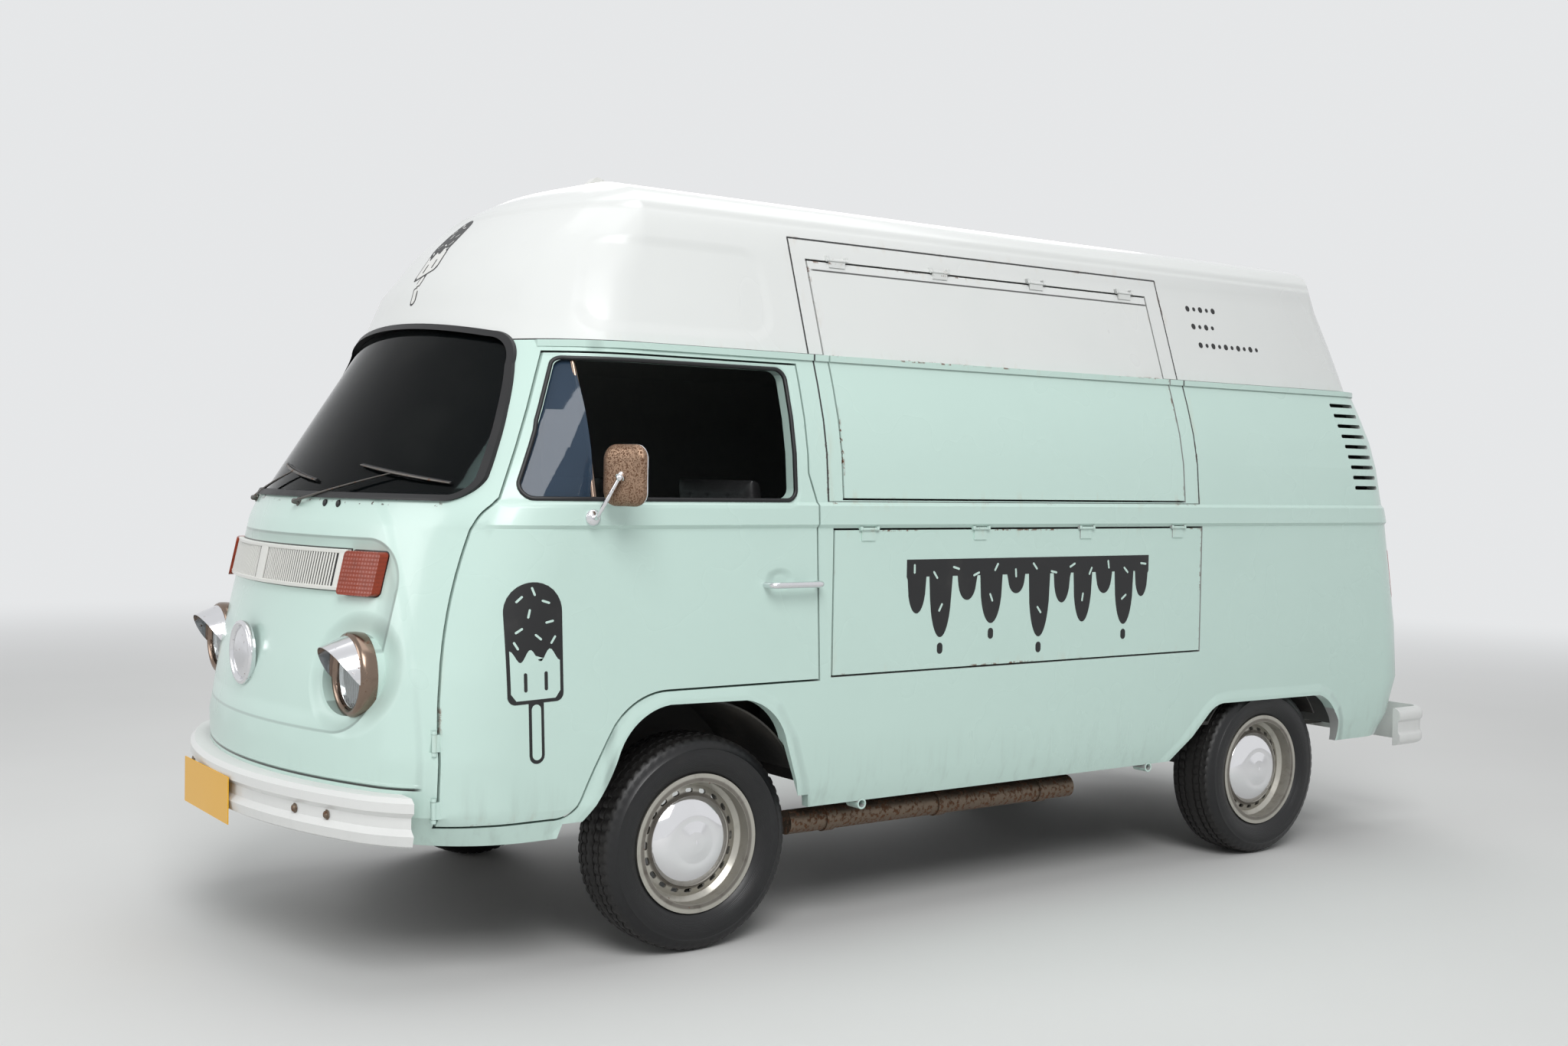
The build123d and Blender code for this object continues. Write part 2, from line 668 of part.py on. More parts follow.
# Cab doors, glass and handles: the left glass is wound down, so only its vent pane shows
HANDLE_Z = 1029.0
HANDLE_Y = -896.0
HANDLE_LENGTH = 176.0
HANDLE_OUT = 38.0
HANDLE_R = 9.0
DOOR_SIDES = [("left", 1), ("right", -1)]
for name, side in DOOR_SIDES:
    with BuildPart() as door:
        add(ring.part)
        add(side_prism(lambda: door_outline(PANEL_GAP), side), mode=Mode.INTERSECT)
        add(side_prism(window_outline, side), mode=Mode.SUBTRACT)
        add_barrels(DOOR_HINGE, hinge_places("door", side))
    save(door.part, f"door_{name}")

    with BuildPart() as door_glass:
        add(body_hull(GLASS_SET))
        add(body_hull(GLASS_SET + GLASS_T), mode=Mode.SUBTRACT)
        add(side_prism(lambda: window_outline(SEAT_GAP), side), mode=Mode.INTERSECT)
        if side > 0:
            with Locations((0, VENT_BAR_Y + 1000, 1450)):
                Box(2400, 2000, 900, mode=Mode.SUBTRACT)
    save(door_glass.part, f"door_glass_{name}")

    skin = side * side_at(HANDLE_Z)
    with BuildPart() as handle:
        with BuildLine():
            FilletPolyline(
                (skin + side * SEAT_GAP, HANDLE_Y - HANDLE_LENGTH / 2, HANDLE_Z),
                (skin + side * HANDLE_OUT, HANDLE_Y - HANDLE_LENGTH / 2, HANDLE_Z),
                (skin + side * HANDLE_OUT, HANDLE_Y + HANDLE_LENGTH / 2, HANDLE_Z),
                (skin + side * SEAT_GAP, HANDLE_Y + HANDLE_LENGTH / 2, HANDLE_Z),
                radius=HANDLE_R * 2,
            )
        with BuildSketch(Plane((skin + side * SEAT_GAP, HANDLE_Y - HANDLE_LENGTH / 2, HANDLE_Z),
                               z_dir=(side, 0, 0))):
            Circle(HANDLE_R)
        sweep()
    save(handle.part, f"door_handle_{name}")

# Windscreen and its rubber seal
SEAL_LAP = 8.0
SEAL_OUT = 9.0
SEAL_IN = 26.0
with BuildPart() as windscreen:
    add(screen_hull(GLASS_SET))
    add(screen_hull(GLASS_SET + GLASS_T), mode=Mode.SUBTRACT)
    add(front_prism(lambda: screen_outline(SEAL_LAP + SEAT_GAP)), mode=Mode.INTERSECT)
save(windscreen.part, "windscreen")

with BuildPart() as seal_web:
    add(screen_hull(-SEAL_OUT))
    add(screen_hull(SEAL_IN), mode=Mode.SUBTRACT)
    add(front_prism(lambda: screen_outline(SEAT_GAP)), mode=Mode.INTERSECT)

with BuildPart() as windscreen_seal:
    add(screen_hull(-SEAL_OUT))
    add(screen_hull(-SEAT_GAP), mode=Mode.SUBTRACT)
    add(front_prism(lambda: screen_outline(-SEAL_LAP)), mode=Mode.INTERSECT)
    add(seal_web.part)
    add(front_prism(lambda: screen_outline(SEAL_LAP)), mode=Mode.SUBTRACT)
save(windscreen_seal.part, "windscreen_seal")

# Wipers: a pivot post below the screen, a tapered arm, and a blade resting on the glass
WIPER_SHIFTS = (0.0, -525.0)
WIPER_PIVOT = (127.0, 1238.0)
WIPER_ELBOW = (486.0, 1329.0)
BLADE_START = (319.0, 1346.0)
BLADE_END = (662.0, 1302.0)
ARM_IN = 12.0
ARM_OUT = 22.0
BLADE_OUT = 18.0


def tapered(start, end, width, end_width):
    """A straight bar between two points, with a width at each."""
    run = Vector(*end) - Vector(*start)
    across = Vector(-run.Y, run.X).normalized()
    with BuildLine() as wire:
        Polyline(
            *[(Vector(*start) + across * width * s / 2).to_tuple()[:2] for s in (1, -1)],
            *[(Vector(*end) + across * end_width * s / 2).to_tuple()[:2] for s in (-1, 1)],
            close=True,
        )
    make_face(wire.edges())


def wiper_outline(piece, shift):
    """One piece of a wiper in front view: post, arm or blade."""
    if piece == "post":
        with Locations((WIPER_PIVOT[0] + shift, WIPER_PIVOT[1])):
            Circle(11)
    elif piece == "arm":
        tapered((WIPER_PIVOT[0] + shift, WIPER_PIVOT[1]), (WIPER_ELBOW[0] + shift, WIPER_ELBOW[1]),
                18, 9)
    else:
        tapered((BLADE_START[0] + shift, BLADE_START[1]), (BLADE_END[0] + shift, BLADE_END[1]),
                10, 10)


with BuildPart() as wipers:
    for shift in WIPER_SHIFTS:
        for piece, low, high in (
            ("post", -SEAT_GAP, -ARM_OUT - 3), ("arm", -ARM_IN, -ARM_OUT),
            ("blade", GLASS_SET - SEAT_GAP, -BLADE_OUT),
        ):
            with BuildPart(mode=Mode.PRIVATE) as layer:
                add(screen_hull(high))
                add(screen_hull(low), mode=Mode.SUBTRACT)
                add(front_prism(lambda: wiper_outline(piece, shift)), mode=Mode.INTERSECT)
            add(layer.part)
save(wipers.part, "wipers")

# Floor pan with its wheel housings, the bulkhead and the raised engine deck
FLOOR_LOW = FLOOR_Z - FLOOR_T
FLOOR_FRONT_Y = -2080.0
ARCHES = [
    (FRONT_ARCH_Y, FRONT_ARCH_R, FRONT_ARCH_IN),
    (REAR_AXLE_Y, REAR_ARCH_R, REAR_ARCH_IN),
]
DOOR_ROOM = 11.0
with BuildPart() as door_room:
    for side in (1, -1):
        add(side_prism(lambda: door_outline(-PANEL_GAP), side))
    add(body_hull(WALL + DOOR_ROOM), mode=Mode.SUBTRACT)

with BuildPart() as floor_pan:
    with Locations((0, (FLOOR_FRONT_Y + DECK_FRONT_Y) / 2, (FLOOR_LOW + FLOOR_Z) / 2)):
        Box(1800, DECK_FRONT_Y - FLOOR_FRONT_Y, FLOOR_T)
    with Locations((0, DECK_FRONT_Y - FLOOR_T / 2, (FLOOR_LOW + DECK_Z) / 2)):
        Box(1800, FLOOR_T, DECK_Z - FLOOR_LOW)
    with Locations((0, (DECK_FRONT_Y + OVERALL_REAR) / 2, DECK_Z - FLOOR_T / 2)):
        Box(1800, OVERALL_REAR - DECK_FRONT_Y, FLOOR_T)
    for side in (1, -1):
        for centre_y, radius, inner in ARCHES:
            with BuildSketch(Plane.YZ.offset(side * (inner - ARCH_SHELL))):
                with Locations((centre_y, TYRE_R)):
                    Circle(radius + ARCH_SHELL)
                with Locations((centre_y, FLOOR_LOW - 500)):
                    Rectangle(1200, 1000, mode=Mode.SUBTRACT)
            extrude(amount=side * (900 - inner + ARCH_SHELL))
    add(body_hull(WALL + SEAT_GAP), mode=Mode.INTERSECT)
    for side in (1, -1):
        for centre_y, radius, inner in ARCHES:
            with BuildSketch(Plane.YZ.offset(side * inner)):
                with Locations((centre_y, TYRE_R)):
                    Circle(radius)
            extrude(amount=side * (900 - inner), mode=Mode.SUBTRACT)
    add(door_room.part, mode=Mode.SUBTRACT)
save(floor_pan.part, "floor_pan")

# Chassis frame: two rails, cross members and the rear bumper irons
RAIL_FRONT_Y = -1960.0
RAIL_REAR_Y = 2030.0
CROSS_W = 70.0
CROSS_LOW = RAIL_LOW + 20.0
# Cross members: place along the frame, half length
CROSSES = [(-1900.0, 540.0), (-700.0, 735.0), (620.0, 735.0)]
ENGINE_CROSS_Y = 1420.0
IRON_Z = 355.0
IRON_T = 16.0
BUMPER_T = 7.0
IRON_BOW = REAR_BOW - sqrt(REAR_BOW ** 2 - (RAIL_X + RAIL_W / 2) ** 2)
BUMPER_IRON_Y = OVERALL_REAR - BUMPER_T - SEAT_GAP - IRON_BOW
# Towing eye under the front cross member
TOW_Y = -2036.0
TOW_Z = 340.0
TOW_R = 15.0
TOW_T = 14.0
TOW_RIM = 26.0
with BuildPart() as chassis_frame:
    for side in (1, -1):
        with Locations((side * RAIL_X, (RAIL_FRONT_Y + DECK_FRONT_Y) / 2, (RAIL_LOW + FLOOR_LOW) / 2)):
            Box(RAIL_W, DECK_FRONT_Y - RAIL_FRONT_Y, FLOOR_LOW - RAIL_LOW)
        with Locations((side * RAIL_X, (DECK_FRONT_Y + RAIL_REAR_Y) / 2, RAIL_LOW + 30)):
            Box(RAIL_W, RAIL_REAR_Y - DECK_FRONT_Y, 60)
        with Locations((side * RAIL_X, RAIL_REAR_Y - 20, (RAIL_LOW + IRON_Z) / 2)):
            Box(RAIL_W - 20, 40, RAIL_LOW - IRON_Z + IRON_T)
        with Locations((side * RAIL_X, (RAIL_REAR_Y - 40 + BUMPER_IRON_Y) / 2, IRON_Z)):
            Box(RAIL_W - 20, BUMPER_IRON_Y - RAIL_REAR_Y + 40, IRON_T)
    for y, reach in CROSSES:
        with Locations((0, y, (CROSS_LOW + FLOOR_LOW) / 2)):
            Box(2 * reach, CROSS_W, FLOOR_LOW - CROSS_LOW)
    with Locations((0, ENGINE_CROSS_Y, RAIL_LOW + 30)):
        Box(2 * RAIL_X, CROSS_W, 60)
    with BuildSketch(Plane.YZ.offset(-TOW_T / 2)):
        with BuildLine():
            Polyline(
                (TOW_Y - TOW_RIM, TOW_Z - TOW_RIM), (TOW_Y + TOW_RIM, TOW_Z - TOW_RIM),
                (CROSSES[0][0], CROSS_LOW), (CROSSES[0][0], CROSS_LOW + 40),
                (TOW_Y - TOW_RIM, TOW_Z + TOW_RIM), close=True,
            )
        make_face()
        with Locations((TOW_Y, TOW_Z)):
            Circle(TOW_R, mode=Mode.SUBTRACT)
    extrude(amount=TOW_T)
save(chassis_frame.part, "chassis_frame")

# Front beam axle with its kingpins
KINGPIN_X = FRONT_TRACK / 2 - KINGPIN_INSET
BEAM_R = 34.0
BEAM_END = KINGPIN_X - 42.0
BOSS_R = 24.0
BOSS_HALF = 62.0
YOKE_T = 16.0
YOKE_GAP = 0.3
YOKE_HALF = BOSS_HALF + YOKE_GAP + YOKE_T
CLAMP_W = 60.0
with BuildPart() as front_axle:
    with Locations(Location((0, FRONT_AXLE_Y, TYRE_R), (0, 90, 0))):
        Cylinder(BEAM_R, 2 * BEAM_END)
    for side in (1, -1):
        with Locations((side * BEAM_END, FRONT_AXLE_Y, TYRE_R)):
            Box(16, 56, 2 * YOKE_HALF)
        for end in (1, -1):
            mid_z = TYRE_R + end * (BOSS_HALF + YOKE_GAP + YOKE_T / 2)
            with Locations((side * (BEAM_END + KINGPIN_X) / 2, FRONT_AXLE_Y, mid_z)):
                Box(KINGPIN_X - BEAM_END, 56, YOKE_T)
            with Locations((side * KINGPIN_X, FRONT_AXLE_Y, mid_z)):
                Cylinder(28, YOKE_T)
        with Locations((side * KINGPIN_X, FRONT_AXLE_Y, TYRE_R)):
            Cylinder(KINGPIN_R, 2 * YOKE_HALF)
        with Locations((side * RAIL_X, FRONT_AXLE_Y, (TYRE_R + RAIL_LOW) / 2)):
            Box(CLAMP_W, CLAMP_W + 20, RAIL_LOW - TYRE_R)
save(front_axle.part, "front_axle")

# Steering knuckles: a boss on the kingpin and a spindle for the wheel
SPINDLE_END = 30.0
HUB_BACK = -20.0
for name, side in DOOR_SIDES:
    hub_x = side * FRONT_TRACK / 2
    with BuildPart() as knuckle:
        with Locations((side * KINGPIN_X, FRONT_AXLE_Y, TYRE_R)):
            Cylinder(BOSS_R, 2 * BOSS_HALF)
        with Locations(Location((hub_x + side * (SPINDLE_END - KINGPIN_INSET) / 2,
                                 FRONT_AXLE_Y, TYRE_R), (0, 90, 0))):
            Cylinder(SPINDLE_R, SPINDLE_END + KINGPIN_INSET)
        with Locations((side * KINGPIN_X, FRONT_AXLE_Y, TYRE_R)):
            Cylinder(KINGPIN_R + SHAFT_FIT, 2 * BOSS_HALF, mode=Mode.SUBTRACT)
    save(knuckle.part, f"knuckle_{name}")

# Rear axle: transaxle case, half-shaft tubes, spindles and clamps to the rails
REAR_TUBE_END = REAR_TRACK / 2 + HUB_BACK - 4.0
CASE_HALF = 140.0
CASE_FRONT_Y = 1120.0
ENGINE_FRONT_Y = 1490.0
with BuildPart() as rear_axle:
    with Locations((0, (CASE_FRONT_Y + ENGINE_FRONT_Y) / 2, 318)):
        Box(2 * CASE_HALF, ENGINE_FRONT_Y - CASE_FRONT_Y, 170)
    fillet(edges().filter_by(Axis.Y), 30)
    with Locations(Location((0, REAR_AXLE_Y, TYRE_R), (0, 90, 0))):
        Cylinder(BEAM_R, 2 * REAR_TUBE_END)
        Cylinder(SPINDLE_R, REAR_TRACK + 2 * SPINDLE_END)
    for side in (1, -1):
        with Locations((side * RAIL_X, REAR_AXLE_Y, (TYRE_R + RAIL_LOW) / 2)):
            Box(CLAMP_W, CLAMP_W + 20, RAIL_LOW - TYRE_R)
save(rear_axle.part, "rear_axle")

# Engine block in the rear bay, and the exhaust under it
ENGINE_HALF = 290.0
ENGINE_REAR_Y = 1960.0
ENGINE_LOW = 300.0
ENGINE_HIGH = 700.0
with BuildPart() as engine_block:
    with Locations((0, (ENGINE_FRONT_Y + ENGINE_REAR_Y) / 2, (ENGINE_LOW + ENGINE_HIGH) / 2)):
        Box(2 * ENGINE_HALF, ENGINE_REAR_Y - ENGINE_FRONT_Y, ENGINE_HIGH - ENGINE_LOW)
save(engine_block.part, "engine_block")

SILENCER_R = 62.0
SILENCER_Z = 286.0
SILENCER_Y = 2044.0
PIPE_R = 21.0
PIPE_X = -250.0
with BuildPart() as exhaust:
    with Locations(Location((0, SILENCER_Y, SILENCER_Z), (0, 90, 0))):
        Cylinder(SILENCER_R, 620)
    fillet(edges().filter_by(GeomType.CIRCLE), 14)
    with Locations(Location((PIPE_X, (SILENCER_Y + 2200) / 2, SILENCER_Z), (90, 0, 0))):
        Cylinder(PIPE_R, 2200 - SILENCER_Y)
        Cylinder(PIPE_R - 3, 2200 - SILENCER_Y + 1, mode=Mode.SUBTRACT)
    for x in (-150, 150):
        with Locations(Location((x, (ENGINE_REAR_Y + SILENCER_Y) / 2, SILENCER_Z + 34), (90, 0, 0))):
            Cylinder(16, SILENCER_Y - ENGINE_REAR_Y)
save(exhaust.part, "exhaust")

# Heater pipe under the left sill, hung from the floor
DUCT_R = 36.0
DUCT_X = 690.0
DUCT_Z = 310.0
DUCT_FRONT = -790.0
DUCT_REAR = 380.0
STRAP_YS = [-640.0, -200.0, 240.0]
with BuildPart() as sill_pipe:
    with Locations(Location((DUCT_X, (DUCT_FRONT + DUCT_REAR) / 2, DUCT_Z), (90, 0, 0))):
        Cylinder(DUCT_R, DUCT_REAR - DUCT_FRONT)
    for y in STRAP_YS:
        with Locations(Location((DUCT_X, y, DUCT_Z), (90, 0, 0))):
            Cylinder(DUCT_R + 4, 36)
        with Locations((DUCT_X, y, (DUCT_Z + DUCT_R + FLOOR_LOW) / 2)):
            Box(8, 30, FLOOR_LOW - DUCT_Z - DUCT_R)
save(sill_pipe.part, "sill_pipe")

# Wheels: one tyre and one rim made at the origin, then set at the four corners
with BuildPart() as tyre_blank:
    with BuildSketch(Plane.XZ):
        with BuildLine():
            Line((0, TYRE_R), (64, TYRE_R - 2.5))
            ThreePointArc((64, TYRE_R - 2.5), (82, TYRE_R - 12), (89, TYRE_R - 32))
            ThreePointArc((89, TYRE_R - 32), (TYRE_HALF, 245), (84, 212))
            Line((84, 212), (76.5, FLANGE_R + 2))
            Line((76.5, FLANGE_R + 2), (67.7, FLANGE_R + 1))
            Line((67.7, FLANGE_R + 1), (67.7, BEAD_R + SEAT_GAP))
            Line((67.7, BEAD_R + SEAT_GAP), (50, BEAD_R + SEAT_GAP))
            Line((50, BEAD_R + SEAT_GAP), (58, 204))
            ThreePointArc((58, 204), (TYRE_HALF - TYRE_WALL, 245), (78, TYRE_R - 32))
            Line((78, TYRE_R - 32), (60, TYRE_R - 2.5 - TYRE_WALL))
            Line((60, TYRE_R - 2.5 - TYRE_WALL), (0, TYRE_R - TYRE_WALL))
            mirror(about=Plane.YZ)
        make_face()
    revolve(axis=Axis.X)

SEAT = RIM_HALF - 8.0
VENT_HOLES = 20
VENT_RING_R = 142.0
with BuildPart() as rim_barrel:
    with BuildSketch(Plane.XZ):
        with BuildLine():
            Polyline(
                (-SEAT, FLANGE_R), (-SEAT, BEAD_R), (-40, BEAD_R), (-30, 164), (20, 164),
                (34, BEAD_R), (SEAT, BEAD_R), (SEAT, FLANGE_R), (RIM_HALF, FLANGE_R),
                (RIM_HALF, BEAD_R - 6), (36, BEAD_R - 6), (24, 158), (-32, 158),
                (-42, BEAD_R - 6), (-RIM_HALF, BEAD_R - 6), (-RIM_HALF, FLANGE_R), close=True,
            )
        make_face()
    revolve(axis=Axis.X)

with BuildPart() as rim_disc:
    with BuildSketch(Plane.XZ):
        with BuildLine():
            Polyline(
                (14, 160), (23, 160), (31, 134), (42, 124), (42, 60), (36, SPINDLE_R + SHAFT_FIT),
                (HUB_BACK, SPINDLE_R + SHAFT_FIT), (HUB_BACK, 40), (30, 48), (34, 112), (22, 134),
                close=True,
            )
        make_face()
    revolve(axis=Axis.X)
    with BuildSketch(Plane.YZ.offset(8)):
        with PolarLocations(VENT_RING_R, VENT_HOLES):
            SlotOverall(24, 12, rotation=90)
    extrude(amount=30, mode=Mode.SUBTRACT)

with BuildPart() as hub_cap:
    with BuildSketch(Plane.XZ):
        with BuildLine():
            Line((40, 112), (40, HUB_CAP_R))
            ThreePointArc((40, HUB_CAP_R), (57, 100), (63, 60))
            Line((63, 60), (67, 30))
            Line((67, 30), (69, 0))
            Line((69, 0), (65, 0))
            Line((65, 0), (58, 62))
            Line((58, 62), (40, 112))
        make_face()
    revolve(axis=Axis.X)

with BuildPart() as rim_blank:
    add(rim_barrel.part)
    add(rim_disc.part)
    add(hub_cap.part)

WHEELS = [
    ("front_left", FRONT_TRACK / 2, FRONT_AXLE_Y, 0),
    ("front_right", -FRONT_TRACK / 2, FRONT_AXLE_Y, 180),
    ("rear_left", REAR_TRACK / 2, REAR_AXLE_Y, 0),
    ("rear_right", -REAR_TRACK / 2, REAR_AXLE_Y, 180),
]
for name, x, y, turn in WHEELS:
    with BuildPart() as tyre:
        with Locations(Location((x, y, TYRE_R), (0, 0, turn))):
            add(tyre_blank.part)
    save(tyre.part, f"tyre_{name}")
    with BuildPart() as rim:
        with Locations(Location((x, y, TYRE_R), (0, 0, turn))):
            add(rim_blank.part)
    save(rim.part, f"rim_{name}")


def skin(low, high, prism):
    """A layer over the body's outside, between two heights off it, cut to a prism."""
    with BuildPart() as layer:
        add(body_hull(-high))
        add(body_hull(-low), mode=Mode.SUBTRACT)
        add(prism, mode=Mode.INTERSECT)
    return layer.part


# Headlamps: chrome ring with a peaked visor, and a domed lens
RING_IN = 88.0
RING_FRONT = 12.0
RING_CHAMFER = 7.0
VISOR_OUT = 78.0
VISOR_T = 3.0
with BuildPart() as lamp_rings:
    for side in (1, -1):
        with BuildSketch(Plane.XZ.offset(-LAMP_Y - LAMP_DEPTH + SEAT_GAP)):
            with Locations((side * LAMP_X, LAMP_Z)):
                Circle(LAMP_R)
                Circle(RING_IN, mode=Mode.SUBTRACT)
        extrude(amount=LAMP_DEPTH + RING_FRONT - SEAT_GAP)
    chamfer(edges().filter_by(GeomType.CIRCLE).group_by(Axis.Y)[0], RING_CHAMFER)
    for side in (1, -1):
        with BuildSketch(Plane.XZ.offset(-LAMP_Y)):
            with Locations((side * LAMP_X, LAMP_Z)):
                Circle(LAMP_R)
                Circle(LAMP_R - VISOR_T, mode=Mode.SUBTRACT)
                with Locations((0, -LAMP_R / 2 + 20)):
                    Rectangle(3 * LAMP_R, LAMP_R + 40, mode=Mode.SUBTRACT)
        extrude(amount=VISOR_OUT)
    with BuildSketch(Plane.YZ.offset(-900)):
        with BuildLine():
            Polyline(
                (LAMP_Y - RING_FRONT, LAMP_Z + 40), (LAMP_Y - VISOR_OUT - 4, LAMP_Z + 98),
                (LAMP_Y - VISOR_OUT - 4, LAMP_Z - 40), (LAMP_Y - RING_FRONT, LAMP_Z - 40), close=True,
            )
        make_face()
    extrude(amount=1800, mode=Mode.SUBTRACT)
save(lamp_rings.part, "headlamp_rings")

with BuildPart() as lamp_lenses:
    for side in (1, -1):
        with BuildSketch(Plane.XZ.offset(-LAMP_Y - 8)):
            with Locations((side * LAMP_X, LAMP_Z)):
                Circle(RING_IN - SEAT_GAP)
        extrude(amount=12)
    chamfer(edges().filter_by(GeomType.CIRCLE).group_by(Axis.Y)[0], 7, 14)
save(lamp_lenses.part, "headlamp_lenses")

# Fresh-air grille with upright fins, indicators beside it, a plain disc on the nose
GRILLE_HALF = 443.0
GRILLE_LOW = 1014.0
GRILLE_HIGH = 1122.0
GRILLE_OUT = 15.0
GRILLE_RIM = 10.0
FIN_PITCH = 22.0
FIN_SLOT = 14.0
FIN_COUNT = int((2 * GRILLE_HALF - 2 * GRILLE_RIM) / FIN_PITCH)


def grille_outline():
    """The grille's frame with its slots left out."""
    with Locations((0, (GRILLE_LOW + GRILLE_HIGH) / 2)):
        RectangleRounded(2 * GRILLE_HALF, GRILLE_HIGH - GRILLE_LOW, 8)
        with GridLocations(FIN_PITCH, 1, FIN_COUNT, 1):
            Rectangle(FIN_SLOT, GRILLE_HIGH - GRILLE_LOW - 2 * GRILLE_RIM, mode=Mode.SUBTRACT)


front_grille = skin(SEAT_GAP, GRILLE_OUT, front_prism(grille_outline, back=-1900.0))
save(front_grille, "front_grille")

LAMP_BAR_IN = GRILLE_HALF + 4.0
LAMP_BAR_OUT = 575.0
LAMP_BAR_LOW = 1006.0
LAMP_BAR_HIGH = 1120.0


def indicator_outline():
    """The two turn indicators beside the grille."""
    for side in (1, -1):
        with Locations((side * (LAMP_BAR_IN + LAMP_BAR_OUT) / 2, (LAMP_BAR_LOW + LAMP_BAR_HIGH) / 2)):
            RectangleRounded(LAMP_BAR_OUT - LAMP_BAR_IN, LAMP_BAR_HIGH - LAMP_BAR_LOW, 12)


indicators = skin(SEAT_GAP, 22.0, front_prism(indicator_outline, back=-1800.0))
save(indicators, "front_indicators")

DISC_R = 90.0
DISC_Z = 816.0


def disc_outline():
    """The round disc in the middle of the nose."""
    with Locations((0, DISC_Z)):
        Circle(DISC_R)


nose_disc = skin(SEAT_GAP, 14.0, front_prism(disc_outline, back=-1900.0))
save(nose_disc, "nose_disc")

REAR_LAMP_IN = 652.0
REAR_LAMP_OUT = 748.0
REAR_LAMP_LOW = 886.0
REAR_LAMP_HIGH = 1100.0


def rear_lamp_outline():
    """The upright lamps on the rear corners."""
    for side in (1, -1):
        with Locations((side * (REAR_LAMP_IN + REAR_LAMP_OUT) / 2, (REAR_LAMP_LOW + REAR_LAMP_HIGH) / 2)):
            RectangleRounded(REAR_LAMP_OUT - REAR_LAMP_IN, REAR_LAMP_HIGH - REAR_LAMP_LOW, 24)


rear_lamps = skin(SEAT_GAP, 26.0, rear_prism(rear_lamp_outline, front=1900.0))
save(rear_lamps, "rear_lamps")


def bumper(base, rows, flange):
    """A pressed bumper: two rounded bands with a groove, as an open channel on a plan."""
    with BuildPart() as outer:
        for z, out in rows:
            with BuildSketch(Plane.XY.offset(z)):
                plan_outline(base, -out)
        loft(ruled=True)
    with BuildPart() as inner:
        for z, out in rows[:-1]:
            with BuildSketch(Plane.XY.offset(z - BUMPER_T)):
                plan_outline(base, BUMPER_T - out)
        with BuildSketch(Plane.XY.offset(rows[-1][0] - BUMPER_T)):
            plan_outline(base, BUMPER_T - rows[-1][1])
        loft(ruled=True)
    with BuildPart() as channel:
        add(outer.part)
        add(inner.part, mode=Mode.SUBTRACT)
        with BuildSketch(Plane.XY.offset(rows[0][0] - 50)):
            plan_outline(base, flange)
        extrude(amount=rows[-1][0] - rows[0][0] + 100, mode=Mode.SUBTRACT)
    return channel.part


# Bumper rows: height, distance out from the plan
BUMPER_LOW = 385.0
FRONT_OUT = 59.2
FRONT_ROWS = [
    (BUMPER_LOW, FRONT_OUT - 26), (398, FRONT_OUT - 6), (424, FRONT_OUT), (440, FRONT_OUT - 13),
    (468, FRONT_OUT - 13), (482, FRONT_OUT), (506, FRONT_OUT), (518, FRONT_OUT - 12),
]
FRONT_BUMPER_END = -2006.0
with BuildPart() as front_bumper:
    add(bumper(BODY[1], FRONT_ROWS, -20))
    add(bumper(BODY[1], FRONT_ROWS[-2:], 30))
    add(body_hull(-SEAT_GAP), mode=Mode.SUBTRACT)
    with Locations((0, FRONT_BUMPER_END - 500, 450)):
        Box(2400, 1000, 400, mode=Mode.INTERSECT)
save(front_bumper.part, "front_bumper")

REAR_BASE = Section(0.0, 862.0, -2190.0, 1600.0, 330.0, OVERALL_REAR, 250.0)
REAR_ROWS = [
    (330, -24), (345, 0), (372, 0), (386, -12), (418, -12), (432, 0), (460, -2), (474, -14),
]
REAR_BUMPER_END = 1975.0
with BuildPart() as rear_bumper:
    add(bumper(REAR_BASE, REAR_ROWS, 46))
    add(body_hull(-6.0), mode=Mode.SUBTRACT)
    with Locations((0, REAR_BUMPER_END + 500, 400)):
        Box(2400, 1000, 400, mode=Mode.INTERSECT)
save(rear_bumper.part, "rear_bumper")

PLATE_W = 400.0
PLATE_H = 130.0
PLATE_X = -78.0
PLATE_Z = 424.0
with BuildPart() as front_plate:
    with Locations((PLATE_X, OVERALL_FRONT + 1.5, PLATE_Z)):
        Box(PLATE_W, 3.0, PLATE_H)
save(front_plate.part, "front_plate")

# Roof vent fin
FIN_Y = -1080.0
with BuildPart() as roof_fin:
    with BuildSketch(Plane.YZ.offset(-18)):
        with BuildLine():
            Line((FIN_Y - 44, ROOF_TOP + SEAT_GAP), (FIN_Y + 44, ROOF_TOP + SEAT_GAP))
            Line((FIN_Y + 44, ROOF_TOP + SEAT_GAP), (FIN_Y + 44, ROOF_TOP + 14))
            ThreePointArc((FIN_Y + 44, ROOF_TOP + 14), (FIN_Y + 28, ROOF_TOP + 36), (FIN_Y, ROOF_TOP + 42))
            Line((FIN_Y, ROOF_TOP + 42), (FIN_Y - 44, ROOF_TOP + SEAT_GAP))
        make_face()
    extrude(amount=36)
save(roof_fin.part, "roof_fin")

